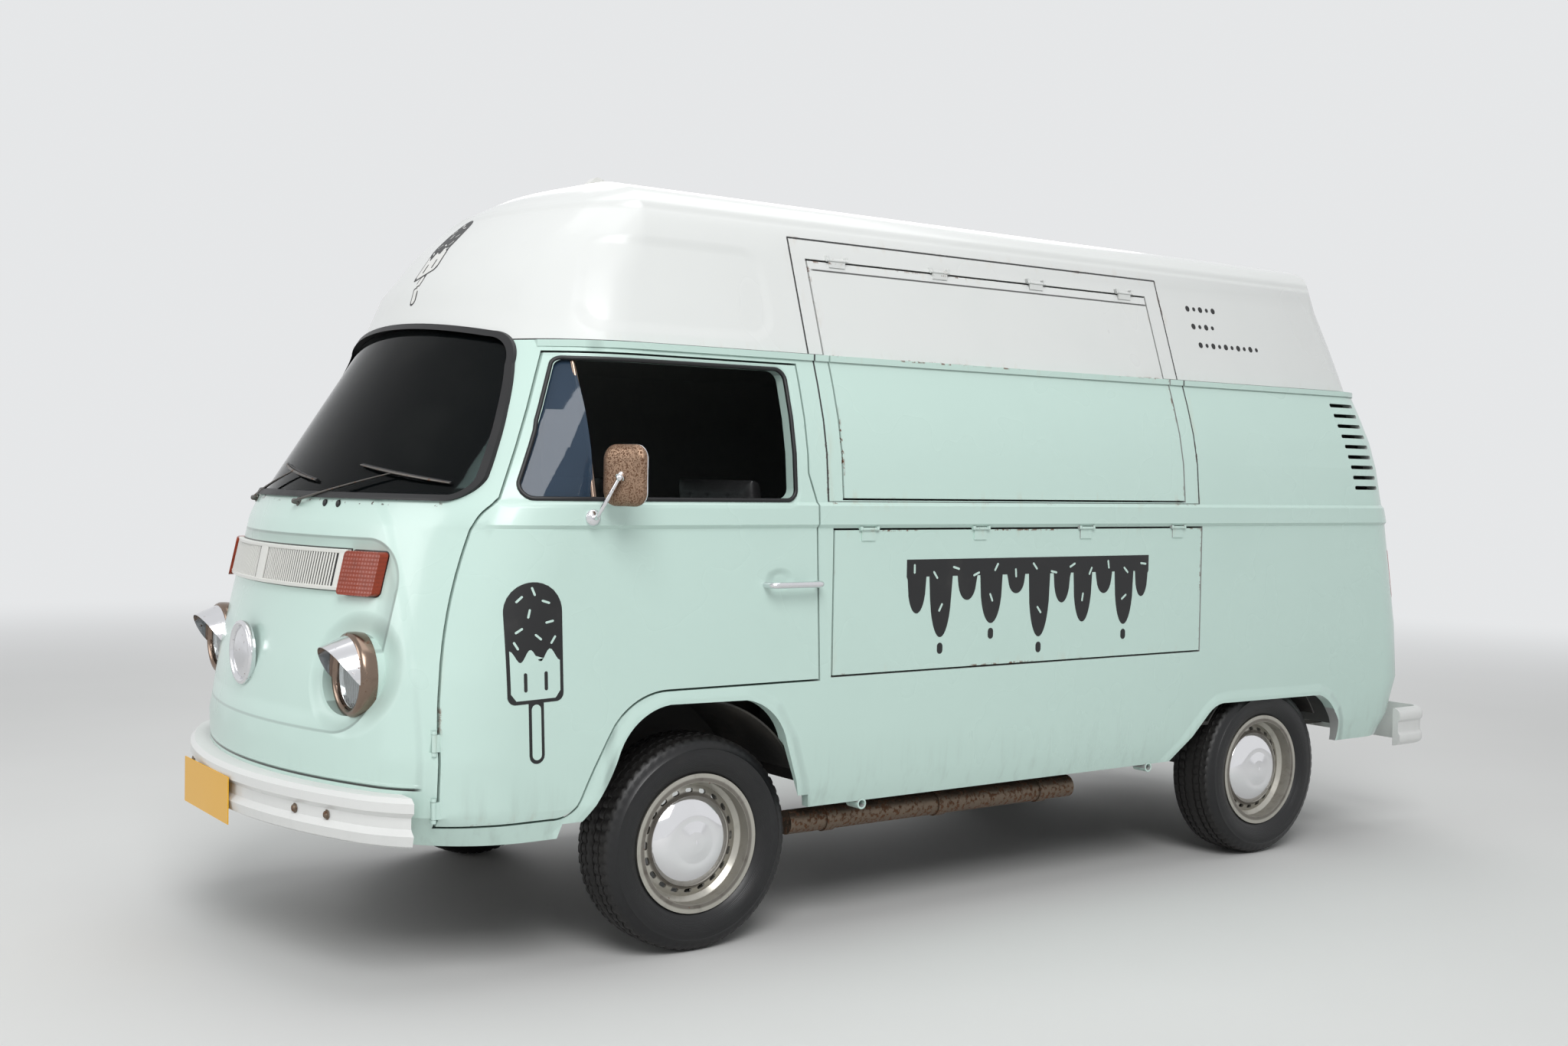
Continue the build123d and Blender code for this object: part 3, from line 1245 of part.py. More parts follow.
# Cab: seat boxes, seats, dashboard, steering column and wheel
SEAT_X = 445.0
SEAT_HALF = 205.0
SEAT_FRONT = -1335.0
SEAT_BACK = -850.0
SEAT_BASE_Z = 735.0
CUSHION_T = 120.0
BACK_T = 100.0
BACK_TOP = 1322.0
with BuildPart() as seat_boxes:
    for side in (1, -1):
        with Locations((side * SEAT_X, (SEAT_FRONT + SEAT_BACK) / 2 + 20, (FLOOR_Z + SEAT_BASE_Z) / 2)):
            Box(2 * SEAT_HALF - 20, SEAT_BACK - SEAT_FRONT - 40, SEAT_BASE_Z - FLOOR_Z)
        with Locations(Location((side * (FRONT_ARCH_IN - ARCH_SHELL - SEAT_GAP + 250), FRONT_ARCH_Y,
                                 TYRE_R), (0, 90, 0))):
            Cylinder(FRONT_ARCH_R + ARCH_SHELL + SEAT_GAP, 500, mode=Mode.SUBTRACT)
save(seat_boxes.part, "seat_boxes")

with BuildPart() as cab_seats:
    for side in (1, -1):
        with Locations((side * SEAT_X, (SEAT_FRONT + SEAT_BACK) / 2, SEAT_BASE_Z + SEAT_GAP + CUSHION_T / 2)):
            Box(2 * SEAT_HALF, SEAT_BACK - SEAT_FRONT, CUSHION_T)
        with BuildSketch(Plane.YZ.offset(side * SEAT_X - SEAT_HALF)):
            with BuildLine():
                low_z = SEAT_BASE_Z + SEAT_GAP + CUSHION_T - 10
                Polyline(
                    (SEAT_BACK - BACK_T, low_z), (SEAT_BACK, low_z), (SEAT_BACK + 40, BACK_TOP),
                    (SEAT_BACK - BACK_T + 60, BACK_TOP), close=True,
                )
            make_face()
        extrude(amount=2 * SEAT_HALF)
    fillet(edges().filter_by(Axis.Z), 30)
save(cab_seats.part, "cab_seats")

DASH_HALF = 600.0
with BuildPart() as dashboard:
    with BuildSketch(Plane.YZ.offset(-DASH_HALF)):
        with BuildLine():
            Polyline(
                (-2080, 1175), (-1820, 1175), (-1765, 1120), (-1775, 1020), (-1830, 990),
                (-2080, 990), close=True,
            )
        make_face()
    extrude(amount=2 * DASH_HALF)
    add(body_hull(WALL + SEAT_GAP), mode=Mode.INTERSECT)
save(dashboard.part, "dashboard")

COLUMN_X = -SEAT_X + 30.0
COLUMN_TOP = (COLUMN_X, -1590.0, 1070.0)
COLUMN_FOOT = (COLUMN_X, -1880.0, FLOOR_Z)
COLUMN_R = 20.0
SHAFT_R = 9.0
STEER_R = 200.0
COLUMN_DIR = Vector(*COLUMN_TOP) - Vector(*COLUMN_FOOT)
COLUMN_LENGTH = COLUMN_DIR.length
with BuildPart(Plane(origin=COLUMN_TOP, z_dir=COLUMN_DIR)) as steering_column:
    with Locations((0, 0, -COLUMN_LENGTH / 2 - 30)):
        Cylinder(COLUMN_R, COLUMN_LENGTH + 60)
    with Locations((0, 0, -30)):
        Cylinder(SHAFT_R + SHAFT_FIT, 60.2, mode=Mode.SUBTRACT)
with BuildPart() as column:
    add(steering_column.part)
    with Locations((COLUMN_X, -1800, FLOOR_Z - 200)):
        Box(400, 800, 400, mode=Mode.SUBTRACT)
save(column.part, "steering_column")

with BuildPart(Plane(origin=COLUMN_TOP, z_dir=COLUMN_DIR)) as steering_wheel:
    with Locations((0, 0, 30)):
        Torus(STEER_R, 12)
    with Locations((0, 0, 14)):
        Cylinder(32, 26)
    with Locations((0, 0, -22)):
        Cylinder(SHAFT_R, 50)
    with Locations((0, 0, 22)):
        with PolarLocations(STEER_R / 2 + 8, 3, start_angle=90):
            Box(STEER_R - 24, 26, 8)
save(steering_wheel.part, "steering_wheel")

# Door mirrors: a foot on the waist, a bent arm and an oval head
MIRROR_Y = -1466.0
MIRROR_Z = 1226.0
MIRROR_HEAD = (952.0, -1500.0, 1330.0)
for name, side in DOOR_SIDES:
    base_x = side * (850.0 + BELT_OUT + SEAT_GAP)
    head = (side * MIRROR_HEAD[0], MIRROR_HEAD[1], MIRROR_HEAD[2])
    with BuildPart() as mirror_arm:
        with Locations(Location((base_x + side * 4, MIRROR_Y, MIRROR_Z), (0, 90, 0))):
            Cylinder(22, 8)
        with BuildLine():
            FilletPolyline(
                (base_x + side * 4, MIRROR_Y, MIRROR_Z), (base_x + side * 60, MIRROR_Y, MIRROR_Z),
                (head[0], head[1] + 14, head[2]), radius=24,
            )
        with BuildSketch(Plane((base_x + side * 4, MIRROR_Y, MIRROR_Z), z_dir=(side, 0, 0))):
            Circle(6)
        sweep()
        with BuildSketch(Plane(head, x_dir=(1, 0, 0), z_dir=(0, -1, 0))):
            Ellipse(62, 83)
        extrude(amount=-16)
    save(mirror_arm.part, f"mirror_{name}")
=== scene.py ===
"""Looks of the high-roof ice cream truck: finishes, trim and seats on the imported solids."""

import json
import logging
import math
from dataclasses import dataclass, field
from enum import Enum
from typing import Callable, Dict, List, Optional, Sequence, Tuple, Union

import bmesh
import bpy
from mathutils import Matrix, Vector
from mathutils.bvhtree import BVHTree

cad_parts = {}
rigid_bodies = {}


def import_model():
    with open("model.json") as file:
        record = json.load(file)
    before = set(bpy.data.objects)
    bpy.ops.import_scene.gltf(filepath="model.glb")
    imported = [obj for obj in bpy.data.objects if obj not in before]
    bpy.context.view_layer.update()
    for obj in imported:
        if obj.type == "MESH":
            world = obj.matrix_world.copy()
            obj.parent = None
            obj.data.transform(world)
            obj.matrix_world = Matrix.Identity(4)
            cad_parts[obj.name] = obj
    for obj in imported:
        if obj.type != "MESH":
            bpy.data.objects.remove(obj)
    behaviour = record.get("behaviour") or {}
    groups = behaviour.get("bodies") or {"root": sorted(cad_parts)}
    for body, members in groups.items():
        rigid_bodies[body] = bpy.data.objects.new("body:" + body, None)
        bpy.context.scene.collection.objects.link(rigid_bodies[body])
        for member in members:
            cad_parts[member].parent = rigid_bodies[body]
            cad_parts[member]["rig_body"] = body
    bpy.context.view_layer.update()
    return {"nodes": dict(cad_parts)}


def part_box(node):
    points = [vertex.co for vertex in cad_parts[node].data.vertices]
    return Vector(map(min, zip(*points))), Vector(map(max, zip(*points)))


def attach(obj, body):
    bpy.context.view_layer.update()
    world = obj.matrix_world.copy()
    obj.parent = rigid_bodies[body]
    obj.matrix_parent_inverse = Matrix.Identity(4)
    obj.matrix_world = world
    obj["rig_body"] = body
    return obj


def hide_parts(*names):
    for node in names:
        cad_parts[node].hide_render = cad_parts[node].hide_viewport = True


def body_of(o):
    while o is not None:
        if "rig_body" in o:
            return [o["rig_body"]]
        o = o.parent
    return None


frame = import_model()
NODES: Dict[str, bpy.types.Object] = frame["nodes"]
LOG = logging.getLogger("truck")

Number = Union[int, float]
Pair = Tuple[float, float]
Point = Tuple[float, float, float]
Colour = Tuple[float, float, float]
BMesh = bmesh.types.BMesh
Material = bpy.types.Material

AHEAD, BEHIND = Vector((0.0, -1.0, 0.0)), Vector((0.0, 1.0, 0.0))
UP, OUTWARD = Vector((0.0, 0.0, 1.0)), Vector((1.0, 0.0, 0.0))
SIDES = (("left", 1), ("right", -1))


def srgb(*shares: int) -> Colour:
    """Turn a screen colour, 0 to 255 a share, into the linear values of a shader."""
    values = [share / 255 for share in shares]
    return tuple(v / 12.92 if v <= 0.04045 else ((v + 0.055) / 1.055) ** 2.4 for v in values)


def darker(colour: Colour, share: float) -> Colour:
    """A colour times a share."""
    return tuple(c * share for c in colour)


def arc(count: int) -> List[float]:
    """Angles from 0 to half a turn in equal steps."""
    return [math.pi * k / count for k in range(count + 1)]


# Shader maths
def operator(operation: str, swapped: bool = False) -> Callable[..., "Sock"]:
    """Make a method that adds one Math node.

    Args:
        operation: The Math node's operation.
        swapped: Whether the socket itself comes last.

    Returns:
        The method.
    """
    def method(self: "Sock", *others: "Value") -> "Sock":
        """Work out the operation on this socket and the others."""
        values = (*others, self) if swapped else (self, *others)
        return self.graph.node("ShaderNodeMath", dict(enumerate(values)), operation=operation)

    return method


class Sock:
    """A shader output that can stand in Python sums."""

    def __init__(self, graph: "Graph", link: bpy.types.NodeSocket) -> None:
        """Wrap one output socket of a graph."""
        self.graph, self.link = graph, link

    __add__ = __radd__ = operator("ADD")
    __mul__ = __rmul__ = operator("MULTIPLY")
    __sub__ = operator("SUBTRACT")
    __rsub__ = operator("SUBTRACT", swapped=True)
    __truediv__ = operator("DIVIDE")
    abs = operator("ABSOLUTE")
    sine = operator("SINE")
    power = operator("POWER")
    low = operator("MINIMUM")
    high = operator("MAXIMUM")

    def __neg__(self) -> "Sock":
        """Opposite."""
        return self * -1.0

    def ramp(self, start: Number, end: Number) -> "Sock":
        """A smooth step from 0 at start to 1 at end, where start may be the larger."""
        step = self.graph.node(
            "ShaderNodeMapRange", {"Value": self, "From Min": min(start, end), "From Max": max(start, end)},
            interpolation_type="SMOOTHSTEP")
        return step if end >= start else 1 - step

    def line(self, centre: Number, half: Number, soft: Number) -> "Sock":
        """1 within half of centre, falling to 0 over soft."""
        return (self - centre).abs().ramp(half + soft, half)


Value = Union[Number, Sock]


class Graph:
    """The node graph of a material or of the world, written as expressions."""

    def __init__(self, name: str, world: bool = False) -> None:
        """Start a material, or a world, with only its output."""
        self.owner = (bpy.data.worlds if world else bpy.data.materials).new(name)
        self.owner.use_nodes = True
        self.tree = self.owner.node_tree
        self.tree.nodes.clear()
        self.output = self.tree.nodes.new("ShaderNodeOutputWorld" if world else "ShaderNodeOutputMaterial")
        self.place = self.node("ShaderNodeTexCoord", {}, "Object")
        self.x = self.node("ShaderNodeSeparateXYZ", {0: self.place})
        self.y, self.z = (Sock(self, self.x.link.node.outputs[k]) for k in (1, 2))

    def node(self, kind: str, inputs: Dict[object, object], out: Union[int, str] = 0,
             **settings: object) -> Sock:
        """Add a node of any type.

        Args:
            kind: The node's type.
            inputs: Values or links by socket name or number.
            out: The output wanted.
            **settings: The node's settings, set first.

        Returns:
            That output.
        """
        made = self.tree.nodes.new(kind)
        for key, value in settings.items():
            setattr(made, key, value)
        for key, value in inputs.items():
            socket = made.inputs[key]
            if isinstance(value, Sock):
                self.tree.links.new(value.link, socket)
            elif isinstance(value, tuple) and len(value) == 3 and socket.type == "RGBA":
                socket.default_value = (*value, 1.0)
            else:
                socket.default_value = value
        return Sock(self, made.outputs[out])

    def mix(self, share: Value, first: object, second: object) -> Sock:
        """Blend two colours by a share of the second."""
        return self.node("ShaderNodeMix", {0: share, 6: first, 7: second}, 2, data_type="RGBA")

    def noise(self, scale: Number, detail: Number = 3.0, rough: Number = 0.5,
              place: Optional[Sock] = None) -> Sock:
        """Soft random value at a scale per metre."""
        return self.node("ShaderNodeTexNoise", {
            "Vector": place or self.place, "Scale": float(scale), "Detail": float(detail),
            "Roughness": float(rough)})

    def stretched(self, x: Number, y: Number, z: Number) -> Sock:
        """The object's coordinates times a factor each way."""
        return self.node("ShaderNodeVectorMath", {0: self.place, 1: (float(x), float(y), float(z))},
                         operation="MULTIPLY")

    @staticmethod
    def radius(a: Sock, b: Sock) -> Sock:
        """Length of the diagonal of two distances."""
        return (a * a + b * b).power(0.5)

    def polar(self, centre: Pair) -> Sock:
        """Distance from the line along x through a point (y, z)."""
        return self.radius(self.y - centre[0], self.z - centre[1])

    def box_edge(self, u: Sock, v: Sock, sides: Sequence[float], corner: float = 0.0) -> Sock:
        """Signed distance to an upright rectangle in u and v.

        Args:
            u: First coordinate.
            v: Second coordinate.
            sides: Low u, high u, low v, high v.
            corner: Corner radius.

        Returns:
            The distance, negative inside.
        """
        a = (u - (sides[0] + sides[1]) / 2).abs() - ((sides[1] - sides[0]) / 2 - corner)
        b = (v - (sides[2] + sides[3]) / 2).abs() - ((sides[3] - sides[2]) / 2 - corner)
        return self.radius(a.high(0.0), b.high(0.0)) + a.high(b).low(0.0) - corner

    def inward(self) -> Sock:
        """1 on faces that look into the vehicle, 0 on its outer faces."""
        normal = self.node("ShaderNodeTexCoord", {}, "Normal")
        away = self.node("ShaderNodeVectorMath", {0: self.stretched(1.0, 0.36, 1.0), 1: (0.0, 0.0, 1.2)},
                         operation="SUBTRACT")
        dot = self.node("ShaderNodeVectorMath", {0: normal, 1: away}, "Value", operation="DOT_PRODUCT")
        return dot.ramp(0.02, -0.02)

    def route(self, u: Sock, v: Sock, points: Sequence[Pair]) -> Sock:
        """Distance to a line of straight runs.

        Args:
            u: First coordinate.
            v: Second coordinate.
            points: The line's points in u and v.

        Returns:
            The distance to the nearest run.
        """
        nearest: Optional[Sock] = None
        for start, end in zip(points, points[1:]):
            du, dv = end[0] - start[0], end[1] - start[1]
            share = ((u - start[0]) * du + (v - start[1]) * dv) / (du * du + dv * dv)
            share = share.high(0.0).low(1.0)
            far = self.radius(u - start[0] - share * du, v - start[1] - share * dv)
            nearest = far if nearest is None else nearest.low(far)
        return nearest

    def seen(self) -> Sock:
        """1 where the camera looks, straight, through glass or by a reflection."""
        rays = [self.node("ShaderNodeLightPath", {}, name)
                for name in ("Is Camera Ray", "Is Transmission Ray", "Is Glossy Ray")]
        return rays[0].high(rays[1]).high(rays[2])

    def close(self, share: Value, first: Sock, second: Optional[Sock] = None) -> None:
        """End the graph with a shader, or with a blend of two by a share of the second."""
        ending = self.node("ShaderNodeMixShader", {0: share, 1: first, 2: second}) if second else first
        self.tree.links.new(ending.link, self.output.inputs["Surface"])

    def bump(self, height: Sock) -> Sock:
        """The normal that a relief in metres gives."""
        return self.node("ShaderNodeBump", {"Height": height, "Distance": 1.0, "Strength": 1.0})

    def surface(self, colour: object, rough: Value, height: Optional[Sock] = None,
                more: Optional[Dict[str, object]] = None) -> Sock:
        """Close the graph with the main shader.

        Args:
            colour: Base colour.
            rough: Roughness.
            height: Relief in metres.
            more: Its other sockets' values or links.

        Returns:
            The shader's output.
        """
        inputs = {"Base Color": colour, "Roughness": rough, **(more or {})}
        if height is not None:
            inputs["Normal"] = self.bump(height)
        shader = self.node("ShaderNodeBsdfPrincipled", inputs)
        self.close(0.0, shader)
        return shader

    def pane(self, gloss: Sock, share: Sock, tint: Colour) -> None:
        """Close the graph with a share of gloss over see-through tint."""
        self.close(share, self.node("ShaderNodeBsdfTransparent", {"Color": tint}), gloss)


# Finishes
class Zone(Enum):
    """Where a painted panel sits, which sets its pressed lines and its wear."""

    PLAIN = "plain"
    SHELL = "shell"
    ROOF = "roof"
    HATCH = "hatch"
    FLAP = "flap"
    DOOR = "door"
    TAIL = "tail"
    LID = "lid"


MINT = srgb(201, 226, 217)
WHITE = srgb(224, 226, 224)
RUST = (0.16, 0.055, 0.022)
GRIME = (0.10, 0.095, 0.075)
# Near black for seams, and for the painted shadow lines on the nose.
SEAM_AND_SHADOW = (0.012, 0.012, 0.012)
LINING = (0.42, 0.43, 0.42)
CLAY = srgb(190, 160, 120)
BACKDROP = (0.79, 0.80, 0.81)

# Panel outlines in metres: low u, high u, low v, high v
NOSE_PANEL = (-0.625, 0.625, 0.652, 1.152)
INDICATOR = (0.447, 0.575, 1.006, 1.120)
GRILLE = (-0.443, 0.443, 1.014, 1.122)
HATCH_FRAME = (-0.767, 0.830, 1.262, 2.045)
HATCH_PANEL = (-0.709, 0.756, 1.274, 1.979)
ROOF_RECESS = (-1.43, -0.885, 1.735, 1.985)
DOOR_PRESS = (-1.80, -0.865, 1.248, 1.650)
LAMP_AT = (0.540, 0.803)
TWO_TONE = 1.6905
ARCHES = (
    ((-1.600, 0.365), (-1.503, 0.471), (-1.443, 0.598), (-1.385, 0.674), (-1.290, 0.712),
     (-1.040, 0.708), (-0.950, 0.665), (-0.900, 0.580), (-0.830, 0.380)),
    ((0.737, 0.369), (0.911, 0.534), (0.952, 0.560), (1.005, 0.567), (1.524, 0.562),
     (1.575, 0.540), (1.624, 0.492), (1.667, 0.381)),
)
Forms = Tuple[Optional[Sock], Optional[Sock], Optional[Sock]]


@dataclass(frozen=True)
class Finish:
    """A named material."""

    name: str

    def make(self) -> Material:
        """Build the material."""
        g = Graph(self.name)
        self.shade(g)
        return g.owner

    def shade(self, g: Graph) -> None:
        """Write the shader."""
        raise NotImplementedError


@dataclass(frozen=True)
class Paint(Finish):
    """Semi-gloss body paint with pressed lines, seams, painted shadow lines, rust at the seams, road dirt and
    painted shade on the cab's inner faces.
    """

    colour: Colour
    zone: Zone = Zone.PLAIN
    rough: float = 0.26
    dirt: float = 0.22

    @staticmethod
    def shell(g: Graph, left: Sock) -> Forms:
        """The nose's pressed panel, lamp dishes and ledge, the arch lips, the trim's gaps, and painted shadow
        lines under the ledge and along the nose panel's edge.
        """
        x, y, z, across = g.x, g.y, g.z, g.x.abs()
        front = y.ramp(-1.45, -1.5)
        panel = g.box_edge(x, z, NOSE_PANEL, 0.13)
        step = ((panel + 0.055) / 0.058).high(0.0).low(1.0)
        eye = g.radius(across - LAMP_AT[0], z - LAMP_AT[1])
        relief = (step * step * 0.022 + (eye.ramp(0.110, 0.166) - 1) * 0.018) * front
        nose = y.ramp(-1.965, -1.985)
        ledge = z.ramp(0.5300, 0.5345) * 0.009 + z.line(0.538, 0.002, 0.004) * 0.0025
        relief = relief + ledge * nose
        lip = g.route(y, z, ARCHES[0]).low(g.route(y, z, ARCHES[1])).ramp(0.044, 0.010)
        relief = relief + lip * across.ramp(0.62, 0.68) * 0.010
        lamps = g.box_edge(across, z, INDICATOR, 0.012)
        gap_and_shadow = lamps.low(g.box_edge(x, z, GRILLE)).ramp(0.0042, 0.0026) * front
        # The line under the ledge and the soft line round the nose panel are painted shadow; the outlines of
        # the indicators and grille are dark joints.
        gap_and_shadow = gap_and_shadow.high(z.line(0.5297, 0.0014, 0.0022) * nose)
        gap_and_shadow = gap_and_shadow.high(panel.abs().ramp(0.0060, 0.0010) * front * 0.28)
        edge = g.box_edge(y, z, HATCH_FRAME).abs()
        seam = edge.ramp(0.0035, 0.0015) * left * z.ramp(1.262, 1.264)
        low = ((across - 0.69).abs() + (z - 1.256).abs() + (y + 1.87).abs()) * 0.5
        return relief - seam * 0.003, seam.high(gap_and_shadow), (edge * left + (1 - left)).low(low)

    @staticmethod
    def roof(g: Graph, left: Sock) -> Forms:
        """The roof's recessed panel beside the cab, its crown line and the hatch frame's seam."""
        y, z = g.y, g.z
        lean = y + (1.965 - z) * y.ramp(-1.05, -1.30) * 0.30
        relief = g.box_edge(lean, z, ROOF_RECESS, 0.07).ramp(0.020, -0.018) * -0.0045
        relief = relief + z.ramp(2.080, 2.110) * 0.008
        edge = g.box_edge(y, z, HATCH_FRAME).abs()
        seam = edge.ramp(0.0035, 0.0015) * left
        base = z.line(1.6915, 0.0015, 0.002)
        return relief - seam * 0.003, seam.high(base), (edge * left + (1 - left)).low(z - 1.690)

    @staticmethod
    def hatch(g: Graph, left: Sock) -> Forms:
        """The hatch's upper fold and its edges."""
        edge = -g.box_edge(g.y, g.z, HATCH_PANEL)
        line = g.z.line(1.952, 0.0016, 0.0015) * g.y.ramp(-0.705, -0.69)
        return line * -0.002, line * 0.9, edge.low((g.z - 1.69).abs())

    @staticmethod
    def door(g: Graph, left: Sock) -> Forms:
        """The door's pressed window surround and the finger hollow behind its handle."""
        y, z = g.y, g.z
        press = g.box_edge(y, z, DOOR_PRESS, 0.05)
        hollow = g.radius((y + 0.935) * 0.66, z - 1.043).ramp(0.036, 0.012)
        edge = (y + 0.792).abs().low((z - 0.436).abs()).low((y + 1.932).abs())
        return press.ramp(0.006, -0.006) * -0.003 - hollow * 0.007, None, edge

    def forms(self, g: Graph) -> Forms:
        """The zone's pressed relief, dark seams with painted shadow lines, and distance to the nearest worn
        edge.
        """
        formed = {Zone.SHELL: self.shell, Zone.ROOF: self.roof, Zone.HATCH: self.hatch, Zone.DOOR: self.door}
        edged = {Zone.FLAP: (g.y, (-0.742, 0.844, 0.761, 1.181), 0.0),
                 Zone.TAIL: (g.x, (-0.584, 0.584, 0.892, 1.600), 0.054),
                 Zone.LID: (g.x, (-0.474, 0.474, 0.506, 0.840), 0.044)}
        if self.zone in formed:
            return formed[self.zone](g, g.x.ramp(0.3, 0.31))
        if self.zone in edged:
            along, sides, corner = edged[self.zone]
            return None, None, -g.box_edge(along, g.z, sides, corner)
        return None, None, None

    def shade(self, g: Graph) -> None:
        """Write the shader."""
        relief, seam, wear = self.forms(g)
        cloud = g.noise(1.3, 2, 0.5)
        colour = g.mix(cloud.ramp(0.25, 0.85) * 0.08, self.colour, darker(self.colour, 0.80))
        tops = {Zone.HATCH: TWO_TONE + 0.002, Zone.SHELL: TWO_TONE + 0.001}
        if self.zone in tops:
            colour = g.mix(g.z.ramp(TWO_TONE, tops[self.zone]), colour, WHITE)
        speck = g.noise(38, 5, 0.65)
        streak = g.noise(1, 3, 0.6, g.stretched(26, 26, 3))
        dirt = g.z.ramp(0.62, 0.34) * streak.ramp(0.45, 0.80) * self.dirt
        colour = g.mix(dirt, colour, GRIME)
        film = g.noise(3.5, 2, 0.5).ramp(0.35, 0.95) * 0.05
        colour = g.mix(film, colour, darker(self.colour, 0.6))
        rust: Optional[Sock] = None
        if wear is not None:
            rust = wear.ramp(0.007, 0.001) * g.noise(5, 3, 0.5).ramp(0.50, 0.62) * speck.ramp(0.50, 0.58)
            colour = g.mix(wear.ramp(0.035, 0.0) * streak.ramp(0.52, 0.8) * 0.22, colour, CLAY)
            colour = g.mix(rust, colour, RUST)
        if self.zone is Zone.SHELL:
            chips = g.z.line(1.250, 0.006, 0.005) * g.x.abs().ramp(0.70, 0.66) * g.y.ramp(-1.8, -1.9)
            colour = g.mix(chips * g.noise(60, 2, 0.5).ramp(0.64, 0.67), colour, (0.05, 0.025, 0.015))
        # Seams in near black, with the painted shadow lines that the shell puts in the same mask.
        if seam is not None:
            colour = g.mix(seam, colour, SEAM_AND_SHADOW)
        inner = g.inward()
        if self.zone is not Zone.PLAIN:
            # Inner faces: pale lining in the load space, and in the cab the paint at 55% as painted shade.
            cab = g.mix(g.y.ramp(-0.80, -0.83), LINING, darker(self.colour, 0.55))
            colour = g.mix(inner, colour, cab)
        peel = g.noise(260, 2, 0.5) * 0.00006 + g.noise(2.6, 2, 0.5) * 0.0012
        height = peel if relief is None else peel + relief
        rough = self.rough + cloud.ramp(0.4, 0.7) * 0.05 + film * 1.2 + dirt * 0.5 + inner * 0.25
        if rust is not None:
            rough = rough + rust * 0.45
            height = height + rust * speck * 0.0006
        g.surface(colour, rough, height, {"Coat Weight": 0.35 * (1 - inner), "Coat Roughness": 0.12})


@dataclass(frozen=True)
class Metal(Finish):
    """Bright or cast metal with clouding, fine scratches and rust spots."""

    colour: Colour = (0.80, 0.80, 0.82)
    rough: float = 0.10
    rust: float = 0.25
    spot: float = 70.0

    def shade(self, g: Graph) -> None:
        """Write the shader."""
        cloud = g.noise(14, 4, 0.6)
        spots = g.noise(self.spot, 5, 0.65).ramp(0.68 - 0.2 * self.rust, 0.76 - 0.2 * self.rust)
        scratch = g.noise(1, 2, 0.5, g.stretched(900, 60, 60))
        colour = g.mix(cloud * 0.25, self.colour, darker(self.colour, 0.7))
        colour = g.mix(spots, colour, (0.13, 0.06, 0.03))
        rough = self.rough + cloud * 0.10 + spots * 0.5 + scratch.ramp(0.55, 0.8) * 0.08
        g.surface(colour, rough, spots * 0.0004 + scratch * 0.00002, {"Metallic": 1 - spots * 0.9})


@dataclass(frozen=True)
class Rubber(Finish):
    """Black rubber or moulded plastic, greyed by age and dust."""

    colour: Colour = (0.018, 0.018, 0.019)
    rough: float = 0.55
    grain: float = 220.0
    relief: float = 0.00012
    dust: float = 0.30

    def shade(self, g: Graph) -> None:
        """Write the shader."""
        grain = g.noise(self.grain, 3, 0.6)
        dust = g.noise(6, 5, 0.6).ramp(0.5, 0.85)
        colour = g.mix(dust * self.dust, self.colour, (0.10, 0.095, 0.085))
        g.surface(colour, self.rough + dust * 0.2 + grain * 0.08, grain * self.relief)


@dataclass(frozen=True)
class TyreRubber(Finish):
    """Tyre rubber: dusty tread, darker dressed walls with fine rings."""

    centre: Pair

    def shade(self, g: Graph) -> None:
        """Write the shader."""
        radius = g.polar(self.centre)
        grain = g.noise(340, 3, 0.6)
        cloud = g.noise(11, 5, 0.6)
        dust = radius.ramp(0.284, 0.300) * 0.55 + cloud.ramp(0.5, 0.8) * 0.35
        colour = g.mix(dust, (0.0060, 0.0060, 0.0070), (0.024, 0.022, 0.020))
        rings = (radius * 1700).sine() * radius.line(0.232, 0.018, 0.003) * 0.00022
        g.surface(colour, 0.34 + dust * 0.35 + grain * 0.08, rings + grain * 0.00012)


@dataclass(frozen=True)
class WheelMetal(Finish):
    """Pressed wheel: silver-cream paint outside, a chrome cap in the middle, brake dust."""

    centre: Pair
    cap: float = 0.1275

    def shade(self, g: Graph) -> None:
        """Write the shader."""
        radius = g.polar(self.centre)
        cap = radius.ramp(self.cap, self.cap - 0.001)
        cloud = g.noise(20, 5, 0.6)
        groove = radius.line(0.131, 0.004, 0.006) + radius.line(0.178, 0.003, 0.006)
        dirt = (groove * 0.7 + cloud.ramp(0.5, 0.8) * 0.30).low(0.85)
        paint = g.mix(dirt, srgb(186, 183, 174), (0.050, 0.036, 0.026))
        rust = g.noise(90, 5, 0.65).ramp(0.66, 0.72) * (1 - cap) * 0.8
        paint = g.mix(rust, paint, RUST)
        chrome = g.mix(cloud * 0.2, (0.86, 0.86, 0.88), (0.60, 0.58, 0.56))
        rough = cap * (0.05 + cloud * 0.06) + (1 - cap) * (0.28 + dirt * 0.40)
        metallic = (cap * 0.97 + (1 - cap) * 0.75 * (1 - dirt)) * (1 - rust)
        g.surface(g.mix(cap, paint, chrome), rough, cloud * 0.0003 * (1 - cap) + rust * 0.0003,
                  {"Metallic": metallic})


@dataclass(frozen=True)
class Glass(Finish):
    """Window glass: clear or tinted, with a film of dust."""

    tint: Colour
    clear: float
    dust: float = 0.02
    deep: Colour = (0.006, 0.008, 0.009)

    def shade(self, g: Graph) -> None:
        """Write the shader."""
        film = g.noise(5, 6, 0.6).ramp(0.45, 0.8) * self.dust
        gloss = g.node("ShaderNodeBsdfPrincipled", {
            "Base Color": g.mix(film * 3, self.deep, (0.20, 0.20, 0.18)), "Roughness": 0.03 + film,
            "IOR": 1.5})
        edge = g.node("ShaderNodeFresnel", {"IOR": 1.5})
        share = (1 - self.clear) + edge * self.clear + film
        g.pane(gloss, share.low(1.0), self.tint)


